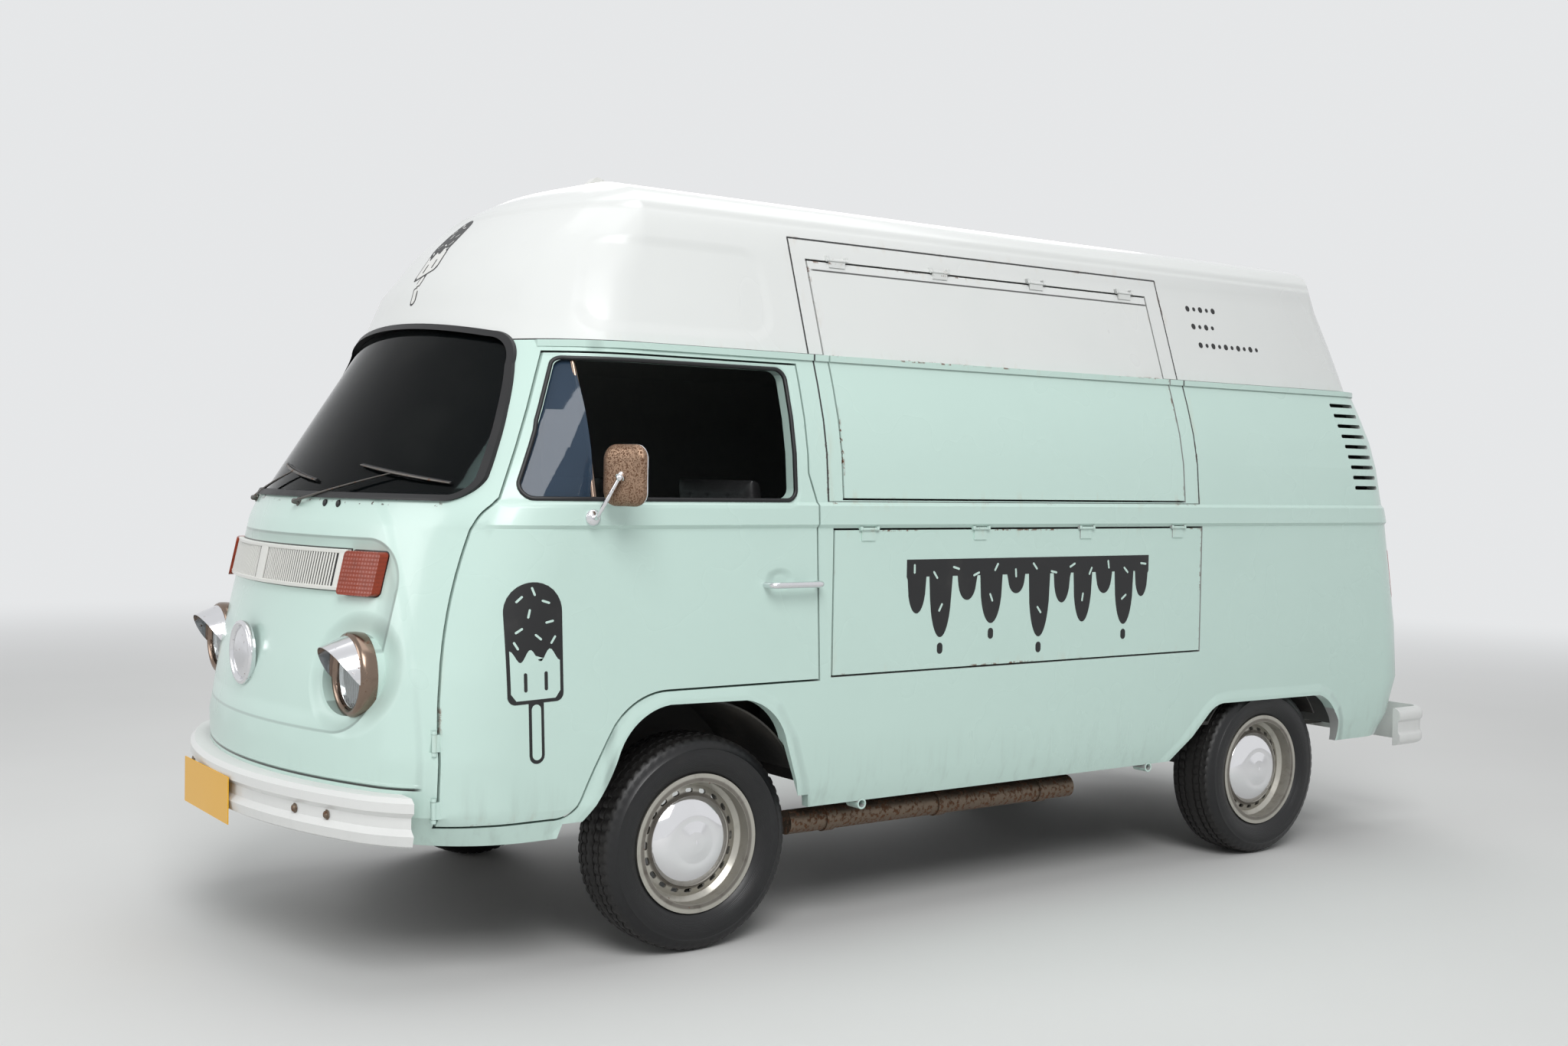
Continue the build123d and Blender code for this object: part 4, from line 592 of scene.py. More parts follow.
@dataclass(frozen=True)
class Lens(Finish):
    """A moulded lamp lens with fine ribs and, if lit, a glow of its own colour."""

    colour: Colour
    glow: float = 0.05
    rib: float = 190.0

    def shade(self, g: Graph) -> None:
        """Write the shader."""
        ribs, cross = ((way * self.rib * math.tau / 2).sine() for way in (g.z, g.x))
        cloud = g.noise(30, 4, 0.6)
        colour = g.mix(cloud.ramp(0.45, 0.8) * 0.4, self.colour, darker(self.colour, 0.45))
        g.surface(colour, 0.24 + cloud * 0.08, ribs * 0.00025 + cross * 0.00018, {
            "Coat Weight": 0.10, "Coat Roughness": 0.04, "Emission Color": colour,
            "Emission Strength": self.glow})


@dataclass(frozen=True)
class LampGlass(Finish):
    """Fluted clear headlamp glass over its bowl."""

    flutes: float = 420.0

    def shade(self, g: Graph) -> None:
        """Write the shader."""
        flute = (g.x * self.flutes).sine()
        gloss = g.node("ShaderNodeBsdfPrincipled", {
            "Base Color": (0.55, 0.57, 0.58), "Roughness": 0.06, "IOR": 1.5,
            "Normal": g.bump(flute * 0.00045)})
        share = 0.30 + g.node("ShaderNodeFresnel", {"IOR": 1.5}) * 0.7 + flute * 0.10
        g.pane(gloss, share, (0.90, 0.93, 0.93))


@dataclass(frozen=True)
class Underseal(Finish):
    """Rough black underseal with road dust and rust."""

    colour: Colour = (0.022, 0.021, 0.020)

    def shade(self, g: Graph) -> None:
        """Write the shader."""
        lump, cloud = g.noise(55, 5, 0.65), g.noise(4, 5, 0.6)
        dust = cloud.ramp(0.45, 0.8) * 0.5
        rust = lump.ramp(0.60, 0.72) * cloud.ramp(0.35, 0.6)
        colour = g.mix(dust, self.colour, (0.11, 0.095, 0.075))
        colour = g.mix(rust * 0.7, colour, (0.12, 0.05, 0.025))
        g.surface(colour, 0.62 + dust * 0.3, lump * 0.0012)


@dataclass(frozen=True)
class Vinyl(Finish):
    """Grained seat vinyl with soft creases."""

    colour: Colour = (0.020, 0.020, 0.021)

    def shade(self, g: Graph) -> None:
        """Write the shader."""
        grain = g.node("ShaderNodeTexVoronoi", {"Vector": g.place, "Scale": 420.0})
        crease = g.noise(16, 4, 0.6)
        worn = crease.ramp(0.5, 0.8)
        colour = g.mix(worn * 0.4, self.colour, (0.065, 0.062, 0.058))
        g.surface(colour, 0.38 + grain * 0.15 + worn * 0.1, grain * 0.0002 + crease * 0.0018)


FINISHES: Tuple[Finish, ...] = (
    Paint("mint_shell", MINT, Zone.SHELL), Paint("mint_door", MINT, Zone.DOOR),
    Paint("mint_hatch", MINT, Zone.HATCH), Paint("mint_flap", MINT, Zone.FLAP),
    Paint("mint_tail", MINT, Zone.TAIL), Paint("mint_lid", MINT, Zone.LID),
    Paint("mint_plain", MINT), Paint("roof_white_gel", WHITE, Zone.ROOF, 0.22),
    Paint("bumper_enamel", srgb(226, 227, 225), rough=0.30, dirt=0.05),
    Paint("grille_plastic", srgb(226, 226, 220), rough=0.36, dirt=0.0),
    Paint("fin_plastic", srgb(226, 226, 222), rough=0.32, dirt=0.0),
    Paint("plate_yellow_paint", srgb(236, 176, 4), rough=0.35, dirt=0.0),
    Paint("motif_mint", MINT, rough=0.30, dirt=0.0),
    Metal("chrome_trim"), Metal("rusty_chrome", (0.74, 0.72, 0.70), 0.16, 0.45),
    Metal("wiper_steel", (0.16, 0.15, 0.14), 0.35, 0.6),
    Metal("lamp_chrome", (0.25, 0.185, 0.145), 0.16, 0.35, 30.0),
    Metal("mirror_silver", (0.92, 0.93, 0.94), 0.02, 0.0),
    Metal("cast_metal", (0.20, 0.195, 0.19), 0.55, 0.5),
    Metal("exhaust_metal", (0.22, 0.17, 0.13), 0.50, 0.9),
    Metal("bronze_shell", (0.34, 0.23, 0.16), 0.42, 0.9, 240.0),
    Rubber("seal_rubber", (0.004, 0.004, 0.005), 0.42, dust=0.03),
    Rubber("dash_plastic", (0.020, 0.020, 0.021), 0.5, 300, 0.0002),
    # Black print of the motifs, also the painted shade behind the grille.
    Rubber("artwork_black", (0.010, 0.010, 0.011), 0.40, 90, 0.00003),
    Glass("screen_clear", (0.66, 0.72, 0.71), 0.84),
    Glass("vent_clear", (0.34, 0.42, 0.50), 0.45, 0.01, (0.050, 0.085, 0.135)),
    Glass("rear_clear", (0.40, 0.45, 0.44), 0.62),
    Lens("amber_lens", srgb(140, 46, 8), 0.0), Lens("red_lens", srgb(160, 20, 16), 0.0),
    LampGlass("fluted_glass"), Underseal("underseal"), Vinyl("seat_vinyl_black"),
    Vinyl("visor_vinyl", (0.32, 0.31, 0.29)),
)


# Mesh tools
def finish_mesh(bm: BMesh, name: str, angle: float) -> bpy.types.Mesh:
    """Weld, shade and store a bmesh, with hard edges over an angle."""
    bmesh.ops.remove_doubles(bm, verts=bm.verts, dist=1e-5)
    bmesh.ops.recalc_face_normals(bm, faces=bm.faces)
    limit = math.radians(angle)
    for face in bm.faces:
        face.smooth = True
    for edge in bm.edges:
        edge.smooth = len(edge.link_faces) == 2 and edge.calc_face_angle(0.0) < limit
    mesh = bpy.data.meshes.new(name)
    bm.to_mesh(mesh)
    bm.free()
    if "custom_normal" in mesh.attributes:
        mesh.attributes.remove(mesh.attributes["custom_normal"])
    return mesh


def lathe(profile: Sequence[Pair], centre: Sequence[float], axis: Vector, segments: int,
          warp: Optional[Callable[[float, float, float], float]] = None) -> BMesh:
    """Turn a profile of (along, radius) pairs round an axis.

    Args:
        profile: The points, from one end to the other.
        centre: A point on the axis.
        axis: The axis, where along counts from the centre.
        segments: Steps round.
        warp: Adds to the radius at (along, radius, angle).

    Returns:
        The open bmesh.
    """
    bm = bmesh.new()
    turn = axis.to_track_quat("Z", "Y").to_matrix()
    origin = Vector(centre)
    rings: List[List[bmesh.types.BMVert]] = []
    for step in range(segments):
        angle = math.tau * step / segments
        ring = []
        for along, radius in profile:
            r = radius + (warp(along, radius, angle) if warp else 0.0)
            ring.append(bm.verts.new(
                origin + turn @ Vector((r * math.cos(angle), r * math.sin(angle), along))))
        rings.append(ring)
    for first, second in zip(rings, rings[1:] + rings[:1]):
        for k in range(len(profile) - 1):
            bm.faces.new((first[k], second[k], second[k + 1], first[k + 1]))
    return bm


def loft(rings: Sequence[Sequence[Vector]], closed: bool = False, ends: int = 2) -> BMesh:
    """Skin a row of closed rings of points.

    Args:
        rings: The rings, each with as many points.
        closed: Whether the last ring runs on into the first.
        ends: How many ends get a cap, counted from the first ring.

    Returns:
        The open bmesh.
    """
    bm = bmesh.new()
    rows = [[bm.verts.new(point) for point in ring] for ring in rings]
    for first, second in zip(rows, rows[1:] + (rows[:1] if closed else [])):
        count = len(first)
        for k in range(count):
            after = (k + 1) % count
            bm.faces.new((first[k], first[after], second[after], second[k]))
    if rows and ends and not closed:
        bm.faces.new(list(reversed(rows[0])))
        if ends > 1:
            bm.faces.new(rows[-1])
    return bm


def tube(points: Sequence[Vector], radius: Union[float, Callable[[float], float]],
         sides: int = 10, closed: bool = False, flat: float = 1.0) -> BMesh:
    """A round or oval bar along a path.

    Args:
        points: The path.
        radius: Its radius, or a function of the share along it.
        sides: Sides of its section.
        closed: Whether the path is a loop.
        flat: Height of the section as a share of its width.

    Returns:
        The open bmesh.
    """
    count = len(points)
    rings = []
    normal = UP
    for index, point in enumerate(points):
        ahead = points[(index + 1) % count] if closed or index < count - 1 else point
        behind = points[index - 1] if closed or index > 0 else point
        run = (ahead - behind).normalized()
        if abs(run.dot(normal)) > 0.95:
            normal = OUTWARD
        across = run.cross(normal).normalized()
        normal = across.cross(run).normalized()
        size = radius(index / max(1, count - 1)) if callable(radius) else radius
        rings.append([point + (across * math.cos(math.tau * k / sides)
                               + normal * math.sin(math.tau * k / sides) * flat) * size
                      for k in range(sides)])
    return loft(rings, closed)


def join(parts: Sequence[BMesh]) -> BMesh:
    """Gather several bmeshes in one."""
    whole = bmesh.new()
    for part in parts:
        mesh = bpy.data.meshes.new("part")
        part.to_mesh(mesh)
        whole.from_mesh(mesh)
        part.free()
        bpy.data.meshes.remove(mesh)
    return whole


def rounded_path(corners: Sequence[Pair], radius: Union[float, Sequence[float]],
                 step: float = 0.02) -> List[Pair]:
    """A closed outline with round corners, as evenly spaced points.

    Args:
        corners: The corner points in order.
        radius: The corners' radius, or one for each.
        step: Spacing of the points.

    Returns:
        The outline's points.
    """
    out: List[Pair] = []
    radii = [radius] * len(corners) if isinstance(radius, float) else radius
    for index, (corner, size) in enumerate(zip(corners, radii)):
        here = Vector(corner)
        if size <= 0:
            out.append(tuple(here))
            continue
        back = (Vector(corners[index - 1]) - here).normalized()
        ahead = (Vector(corners[(index + 1) % len(corners)]) - here).normalized()
        angle = back.angle(ahead)
        reach = size / math.tan(angle / 2)
        centre = here + (back + ahead).normalized() * (size / math.sin(angle / 2))
        start, end = here + back * reach, here + ahead * reach
        for k in range(9):
            ray = (start - centre).lerp(end - centre, k / 8).normalized()
            out.append(tuple(centre + ray * size))
    full: List[Pair] = []
    for point, following in zip(out, out[1:] + out[:1]):
        run = Vector(following) - Vector(point)
        pieces = max(1, int(run.length / step))
        full += [tuple(Vector(point) + run * (k / pieces)) for k in range(pieces)]
    return full


def box_path(sides: Sequence[float], radius: Union[float, Sequence[float]], step: float = 0.02) -> List[Pair]:
    """A rounded rectangle from its low u, high u, low v and high v."""
    a, b, c, d = sides
    return rounded_path([(a, c), (b, c), (b, d), (a, d)], radius, step)


def pill(start: Pair, end: Pair, half: float, steps: int = 8) -> List[Pair]:
    """The outline of a bar with round ends."""
    run = (Vector(end) - Vector(start)).normalized() if start != end else Vector((1.0, 0.0))
    base = math.atan2(run.y, run.x)
    return [(centre[0] + half * math.cos(first + turn), centre[1] + half * math.sin(first + turn))
            for centre, first in ((end, base - math.pi / 2), (start, base + math.pi / 2))
            for turn in arc(steps)]


class Side(Enum):
    """A direction from which an outline is laid on the body."""

    LEFT = (1.0, 0.0, 0.0)
    RIGHT = (-1.0, 0.0, 0.0)
    FRONT = (0.0, -1.0, 0.0)
    REAR = (0.0, 1.0, 0.0)


@dataclass
class Skin:
    """The outer surface of some CAD nodes, on which trim is laid."""

    nodes: Tuple[str, ...]
    tree: BVHTree = field(init=False)

    def __post_init__(self) -> None:
        """Gather the nodes' triangles."""
        verts: List[Vector] = []
        faces: List[List[int]] = []
        for name in self.nodes:
            mesh = NODES[name].data
            base = len(verts)
            verts += [v.co.copy() for v in mesh.vertices]
            faces += [[base + i for i in p.vertices] for p in mesh.polygons]
        self.tree = BVHTree.FromPolygons(verts, faces)

    def point(self, side: Side, u: float, z: float, out: float = 0.0,
              inner: bool = False) -> Optional[Vector]:
        """The surface point seen from a side, moved out along that side.

        Args:
            side: Where the ray comes from.
            u: y on a left or right side, x on the front or rear.
            z: Height.
            out: How far the point stands off.
            inner: Looks from the middle outwards instead, and stands off inwards.

        Returns:
            The point, or None where there is no surface.
        """
        way = Vector(side.value) * (-1.0 if inner else 1.0)
        start = Vector((0.0, u, z)) if way.x else Vector((u, 0.0, z))
        hit = self.tree.ray_cast(start if inner else start + way * 4.0, -way, 4.0)[0]
        return None if hit is None else hit + way * out

    def points(self, side: Side, spots: Sequence[Pair], out: float = 0.0) -> List[Vector]:
        """The surface points of many spots, without those that have none."""
        found = [self.point(side, u, z, out) for u, z in spots]
        return [p for p in found if p is not None]


SKIN = Skin(("body_shell", "high_roof", "door_left", "door_right", "serving_hatch",
             "counter_flap", "tailgate", "engine_lid"))


# Sub-assemblies
@dataclass
class Studio:
    """Floor, light and camera."""

    focus: float = 2180.0
    eye: Point = (4.6755, -3.6709, 1.3331)
    yaw: float = -54.32
    pitch: float = -1.587
    roll: float = 0.970
    lamps: Tuple[Tuple[str, Point, float, float], ...] = (
        ("key", (7.0, -4.5, 7.5), 5.0, 580.0), ("top", (0.0, 0.5, 9.0), 7.0, 200.0),
        ("nose", (-1.5, -9.0, 4.5), 4.0, 150.0), ("back", (-7.0, 5.0, 5.0), 6.0, 200.0),
    )

    def camera(self) -> None:
        """Set the camera at the photograph's place and angle."""
        yaw, pitch, roll = (math.radians(a) for a in (self.yaw, self.pitch, self.roll))
        ahead = Vector((math.cos(pitch) * math.sin(yaw), math.cos(pitch) * math.cos(yaw),
                        math.sin(pitch)))
        right = Vector((math.cos(yaw), -math.sin(yaw), 0.0))
        up = right.cross(ahead)
        across = right * math.cos(roll) + up * math.sin(roll)
        top = up * math.cos(roll) - right * math.sin(roll)
        data = bpy.data.cameras.new("photo_view")
        data.sensor_width, data.lens = 36.0, self.focus / 2048 * 36.0
        data.clip_end = 200.0
        cam = bpy.data.objects.new("photo_view", data)
        turn = Matrix((across, top, -ahead)).transposed().to_4x4()
        cam.matrix_world = Matrix.Translation(self.eye) @ turn
        bpy.context.scene.collection.objects.link(cam)
        bpy.context.scene.camera = cam

    def floor(self) -> None:
        """Lay a plain pale floor that fades into the backdrop."""
        bm = bmesh.new()
        bmesh.ops.create_grid(bm, x_segments=8, y_segments=8, size=60.0)
        mesh = bpy.data.meshes.new("floor")
        bm.to_mesh(mesh)
        bm.free()
        floor = bpy.data.objects.new("floor", mesh)
        bpy.context.scene.collection.objects.link(floor)
        g = Graph("floor_pale")
        near = g.surface(g.mix(g.noise(0.8, 3), (0.66, 0.66, 0.65), (0.70, 0.70, 0.69)), 0.75)
        far = g.radius(g.x, g.y).ramp(4.5, 13.0) * g.seen()
        g.close(far, near, g.node("ShaderNodeEmission", {"Color": BACKDROP, "Strength": 1.0}))
        mesh.materials.append(g.owner)

    def light(self) -> None:
        """Large soft lamps aimed at the truck, and a pale surround."""
        for name, place, size, power in self.lamps:
            data = bpy.data.lights.new(name, "AREA")
            data.shape, data.size, data.energy = "SQUARE", size, power
            lamp = bpy.data.objects.new(name, data)
            lamp.location = place
            lamp.rotation_mode = "QUATERNION"
            lamp.rotation_quaternion = (UP - Vector(place)).to_track_quat("-Z", "Y")
            bpy.context.scene.collection.objects.link(lamp)
        g = Graph("surround", world=True)
        plain = g.node("ShaderNodeBackground", {"Color": (0.80, 0.82, 0.84), "Strength": 0.43})
        shown = g.node("ShaderNodeBackground", {"Color": BACKDROP, "Strength": 1.0})
        g.close(g.seen(), plain, shown)
        bpy.context.scene.world = g.owner

    def build(self) -> None:
        """Make the whole set."""
        self.camera()
        self.floor()
        self.light()
        bpy.context.scene.view_settings.view_transform = "Standard"


@dataclass
class Assembly:
    """A group of pieces made with the shared finishes."""

    materials: Dict[str, Material]

    def build(self) -> None:
        """Make every piece."""
        raise NotImplementedError

    def add(self, name: str, shape: Union[BMesh, List[BMesh]], angle: float, finish: str,
            body: str = "chassis", stands_for: str = "", slot: str = "") -> bpy.types.Object:
        """Put a shape in the scene on its body with its finish.

        Args:
            name: The piece's name.
            shape: Its bmesh, or several to join, in the truck's own frame.
            angle: Edges sharper than this many degrees stay hard.
            finish: Its finish.
            body: The CAD body that it rides on.
            stands_for: The CAD node that it replaces.
            slot: Not used.

        Returns:
            The new object.
        """
        mesh = finish_mesh(join(shape) if isinstance(shape, list) else shape, name, angle)
        piece = bpy.data.objects.new(name, mesh)
        bpy.context.scene.collection.objects.link(piece)
        mesh.materials.clear()
        mesh.materials.append(self.materials[finish])
        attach(piece, body)
        if stands_for:
            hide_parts(stands_for)
        LOG.info("%s: %d faces", name, len(mesh.polygons))
        return piece

    def sheet(self, name: str, side: Side, shapes: Sequence[Sequence[Pair]], out: float,
              thick: float, finish: str, body: str = "chassis", skin: Skin = SKIN,
              inner: bool = False, slot: str = "") -> bpy.types.Object:
        """Lay flat shapes on the body as one thin solid piece.

        Args:
            name: The piece's name.
            side: The direction from which the shapes are laid on.
            shapes: Outlines in that side's view.
            out: Height of the sheet's face over the surface.
            thick: Its thickness.
            finish: Its finish.
            body: The body that it rides on.
            skin: The surface, where it isn't the whole outer one.
            inner: Lays it on the inner surface.
            slot: The record's material slot name, passed on to add, which doesn't use it.

        Returns:
            The new object.
        """
        bm = bmesh.new()
        for shape in shapes:
            before = set(bm.faces)
            rim = [bm.verts.new((u, z, 0.0)) for u, z in shape]
            bmesh.ops.triangulate(bm, faces=[bm.faces.new(rim)])
            for _ in range(3):
                fresh = [f for f in bm.faces if f not in before]
                long_edges = [e for e in {e for f in fresh for e in f.edges} if e.calc_length() > 0.03]
                if long_edges:
                    bmesh.ops.subdivide_edges(bm, edges=long_edges, cuts=1)
                    bmesh.ops.triangulate(bm, faces=[f for f in bm.faces if f not in before])
            for vert in {v for f in bm.faces if f not in before for v in f.verts}:
                hit = skin.point(side, vert.co.x, vert.co.y, out, inner)
                if hit is not None:
                    vert.co = hit
        way = Vector(side.value) * (-1.0 if inner else 1.0)
        bmesh.ops.remove_doubles(bm, verts=bm.verts, dist=1e-5)
        bmesh.ops.recalc_face_normals(bm, faces=bm.faces)
        if sum((f.normal for f in bm.faces), Vector()).dot(way) < 0:
            bmesh.ops.reverse_faces(bm, faces=bm.faces)
        front = list(bm.faces)
        rims = [e for e in bm.edges if len(e.link_faces) == 1]
        twin = {v: bm.verts.new(v.co - way * thick) for v in list(bm.verts)}
        for face in front:
            bm.faces.new([twin[v] for v in reversed(face.verts[:])])
        for edge in rims:
            first, second = edge.verts
            bm.faces.new((first, second, twin[second], twin[first]))
        return self.add(name, bm, 50, finish, body, slot=slot)


@dataclass
class PlainNodes(Assembly):
    """CAD nodes whose shape is right and which only need a finish."""

    finishes: Tuple[Tuple[str, str], ...] = (
        ("rear_clear", "tailgate_glass"), ("vent_clear", "door_glass_left"),
        ("screen_clear", "door_glass_right windscreen"),
        ("chrome_trim", "door_handle_left door_handle_right nose_disc"),
        ("seal_rubber", "windscreen_seal"),
        ("underseal", "floor_pan chassis_frame front_axle seat_boxes"),
        ("cast_metal", "knuckle_left knuckle_right rear_axle engine_block"),
        ("exhaust_metal", "exhaust sill_pipe"), ("rusty_chrome", "headlamp_rings"),
        ("fluted_glass", "headlamp_lenses"), ("grille_plastic", "front_grille"),
        ("amber_lens", "front_indicators"), ("red_lens", "rear_lamps"),
        ("bumper_enamel", "front_bumper rear_bumper"), ("plate_yellow_paint", "front_plate"),
        ("fin_plastic", "roof_fin"), ("dash_plastic", "dashboard steering_column steering_wheel"),
        ("bronze_shell", "mirror_left mirror_right"),
    )

    def build(self) -> None:
        """Give each node its finish."""
        for finish, nodes in self.finishes:
            for node in nodes.split():
                NODES[node].material_slots[0].material = self.materials[finish]
                LOG.info("%s: %s", node, finish)


@dataclass
class BodyPanels(Assembly):
    """Painted panels: smooth copies of the CAD skins with their finishes."""

    finishes: Tuple[Tuple[str, str], ...] = (
        ("body_shell", "mint_shell"), ("high_roof", "roof_white_gel"),
        ("serving_hatch", "mint_hatch"), ("counter_flap", "mint_flap"),
        ("door_left", "mint_door"), ("door_right", "mint_door"),
        ("tailgate", "mint_tail"), ("engine_lid", "mint_lid"),
    )

    def build(self) -> None:
        """Make every panel as a welded, smooth-shaded piece."""
        for node, finish in self.finishes:
            bm = bmesh.new()
            bm.from_mesh(NODES[node].data)
            self.add(node + "_skin", bm, 28, finish, body_of(NODES[node])[0], node,
                     NODES[node].material_slots[0].name)


@dataclass
class Wheels(Assembly):
    """Tyres with tread and ribbed walls, and finished rims."""

    places: Tuple[Tuple[str, float, float], ...] = (
        ("front_left", 0.6975, -1.148), ("front_right", -0.6975, -1.148),
        ("rear_left", 0.7275, 1.252), ("rear_right", -0.7275, 1.252),
    )
    height: float = 0.304
    crown: float = 0.3035
    segments: int = 240
    blocks: int = 60

    def profile(self) -> List[Pair]:
        """The tyre's section from the inner bead over the tread to the outer bead."""
        wall = [(0.0655, 0.1785), (0.0677, 0.186), (0.0690, 0.196), (0.0740, 0.200), (0.0800, 0.208),
                (0.0860, 0.218), (0.0905, 0.230), (0.0922, 0.242), (0.0918, 0.254),
                (0.0900, 0.264), (0.0905, 0.2665), (0.0880, 0.2690), (0.0850, 0.277),
                (0.0825, 0.284), (0.0790, 0.2905), (0.0740, 0.2955)]
        tread = [(t, self.crown - 0.006 * (t / 0.074) ** 2.6) for t in
                 (0.070, 0.064, 0.058, 0.053, 0.050, 0.0495, 0.0435, 0.043, 0.038, 0.032, 0.026,
                  0.0225, 0.022, 0.016, 0.0155, 0.011, 0.0055)]
        half = wall + tread
        return [(-a, r) for a, r in half] + [(0.0, self.crown)] + [(a, r) for a, r in reversed(half)]

    def tread(self, along: float, radius: float, angle: float) -> float:
        """How far the tread's grooves and blocks go in at a point."""
        a = abs(along)
        if radius < 0.2955:
            return -0.0035 if 0.283 < radius and math.sin(angle * self.blocks) > 0.55 else 0.0
        if 0.0155 < a < 0.0225 or 0.0434 < a < 0.0496:
            return -0.0065
        cut = math.sin(angle * self.blocks + along * 40) > (0.62 if a < 0.0496 else 0.5)
        return -0.0045 if cut and a > 0.006 else 0.0

    def build(self) -> None:
        """Make four tyres and finish four rims."""
        for name, x, y in self.places:
            centre = (y, self.height)
            rubber = f"tyre_rubber_{name}"
            self.materials[rubber] = TyreRubber(rubber, centre).make()
            tyre = lathe(self.profile(), (x, y, self.height), OUTWARD, self.segments, self.tread)
            self.add(f"tyre_{name}_tread", tyre, 40, rubber, f"wheel_{name}", f"tyre_{name}", "tyre_black")
            NODES[f"rim_{name}"].material_slots[0].material = \
                WheelMetal(f"wheel_metal_{name}", centre).make()


@dataclass
class CabSeats(Assembly):
    """Two padded seats: crowned cushions and backs with sewn channels."""

    centre_x: float = 0.445
    half: float = 0.205
    front: float = -1.335
    back: float = -0.850
    base: float = 0.7355
    thick: float = 0.118
    top: float = 1.322
    channels: int = 4
    grid: Tuple[int, int] = (40, 48)

    def pad(self, size: Point, place: Point, tilt: float) -> BMesh:
        """A crowned pad with channels, standing on its base plane.

        Args:
            size: Width, length and thickness.
            place: Centre of its underside.
            tilt: Turn about x in degrees.

        Returns:
            The open bmesh.
        """
        bm = bmesh.new()
        nu, nv = self.grid
        width, length, thick = size
        turn = Matrix.Rotation(math.radians(tilt), 3, "X")
        made: Dict[Tuple[int, int, int], bmesh.types.BMVert] = {}
        for layer in (0, 1):
            for i in range(nu + 1):
                for j in range(nv + 1):
                    u, v = 2 * i / nu - 1, 2 * j / nv - 1
                    pinch = 1 - 0.035 * (1 - abs(u) ** 2) * (abs(v) ** 6) - 0.02 * abs(u * v) ** 4
                    edge = max(0.0, 1 - max(abs(u), abs(v)) ** 8)
                    crown = (1 - u * u * 0.35) * (1 - v * v * 0.30)
                    channel = abs(math.sin(math.pi * self.channels * (u + 1) / 2)) ** 0.35
                    inner = 1.0 if abs(v) < 0.80 and abs(u) < 0.86 else 0.0
                    seam = 0.72 if 0.84 < abs(u) < 0.88 or 0.78 < abs(v) < 0.82 else 1.0
                    swell = crown * (1 - inner * 0.16 * (1 - channel)) * seam ** 0.35
                    height = thick * (0.50 + 0.50 * edge * swell) if layer else \
                        thick * 0.50 * (1 - edge ** 0.4)
                    made[layer, i, j] = bm.verts.new(
                        Vector(place) + turn @ Vector((u * width / 2 * pinch, v * length / 2, height)))
        for layer in (0, 1):
            for i in range(nu):
                for j in range(nv):
                    quad = [made[layer, i + a, j + b] for a, b in ((0, 0), (1, 0), (1, 1), (0, 1))]
                    bm.faces.new(quad if layer else list(reversed(quad)))
        return bm

    def build(self) -> None:
        """Make the two seats. The first cushion stands for all of the plain CAD seats."""
        size = (2 * self.half, self.back - self.front, self.thick)
        tall = self.top - self.base - self.thick + 0.004
        middle = (self.front + self.back) / 2
        for side, sign in SIDES:
            x = sign * self.centre_x
            cushion = self.pad(size, (x, middle, self.base), 0.0)
            back = self.pad((2 * self.half, tall * 1.02, 0.098),
                            (x, self.back + 0.026, (self.top + self.base + self.thick) / 2), 95.0)
            for part, bm in (("cushion", cushion), ("backrest", back)):
                piece = self.add(f"seat_{part}_{side}", bm, 70, "seat_vinyl_black")
                soft = piece.modifiers.new("soft", "SUBSURF")
                soft.levels = soft.render_levels = 1
                if piece.name == "seat_cushion_left":
                    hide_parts("cab_seats")


@dataclass
class WindowTrim(Assembly):
    """Rubbers round the cab door windows and the rear glass, and the vent pane's bar."""

    low: float = 1.270
    high: float = 1.636
    rear: float = -0.886
    bar_y: float = -1.530
    rear_glass: Tuple[float, ...] = (-0.470, 0.470, 1.196, 1.530)

    def bead(self, name: str, side: Side, outline: Sequence[Pair], radius: float, out: float,
             body: str, skin: Skin) -> None:
        """Lay a loop of round rubber along an outline on the body."""
        self.add(name, tube(skin.points(side, outline, out), radius, 8, True), 50, "seal_rubber", body)

    def build(self) -> None:
        """Lay every rubber and bar."""
        corners = [(-1.574, self.high), (-1.738, self.low), (self.rear, self.low), (self.rear, self.high)]
        outline = rounded_path(corners, 0.032)
        grown = [(y - 0.004 if y < -1.3 else y + 0.004, z + (0.004 if z > 1.45 else -0.004))
                 for y, z in outline]
        for side, (name, sign) in zip((Side.LEFT, Side.RIGHT), SIDES):
            skin, body = Skin((f"door_{name}",)), f"cab_door_{name}"
            self.bead(f"window_rubber_{name}", side, grown, 0.0065, -0.001, body, skin)
            low, high = skin.points(side, [(self.bar_y, self.low - 0.012), (self.bar_y, self.high + 0.012)])
            run = [low.lerp(high, k / 12) - Vector((sign * (0.012 - 0.010 * math.sin(turn)), 0, 0))
                   for k, turn in enumerate(arc(12))]
            self.add(f"vent_bar_{name}", tube(run, 0.0085, 10, False, 0.8), 50, "lamp_chrome", body)
        self.bead("rear_window_rubber", Side.REAR, box_path(self.rear_glass, 0.080), 0.009, 0.0,
                  "rear_door", Skin(("tailgate",)))


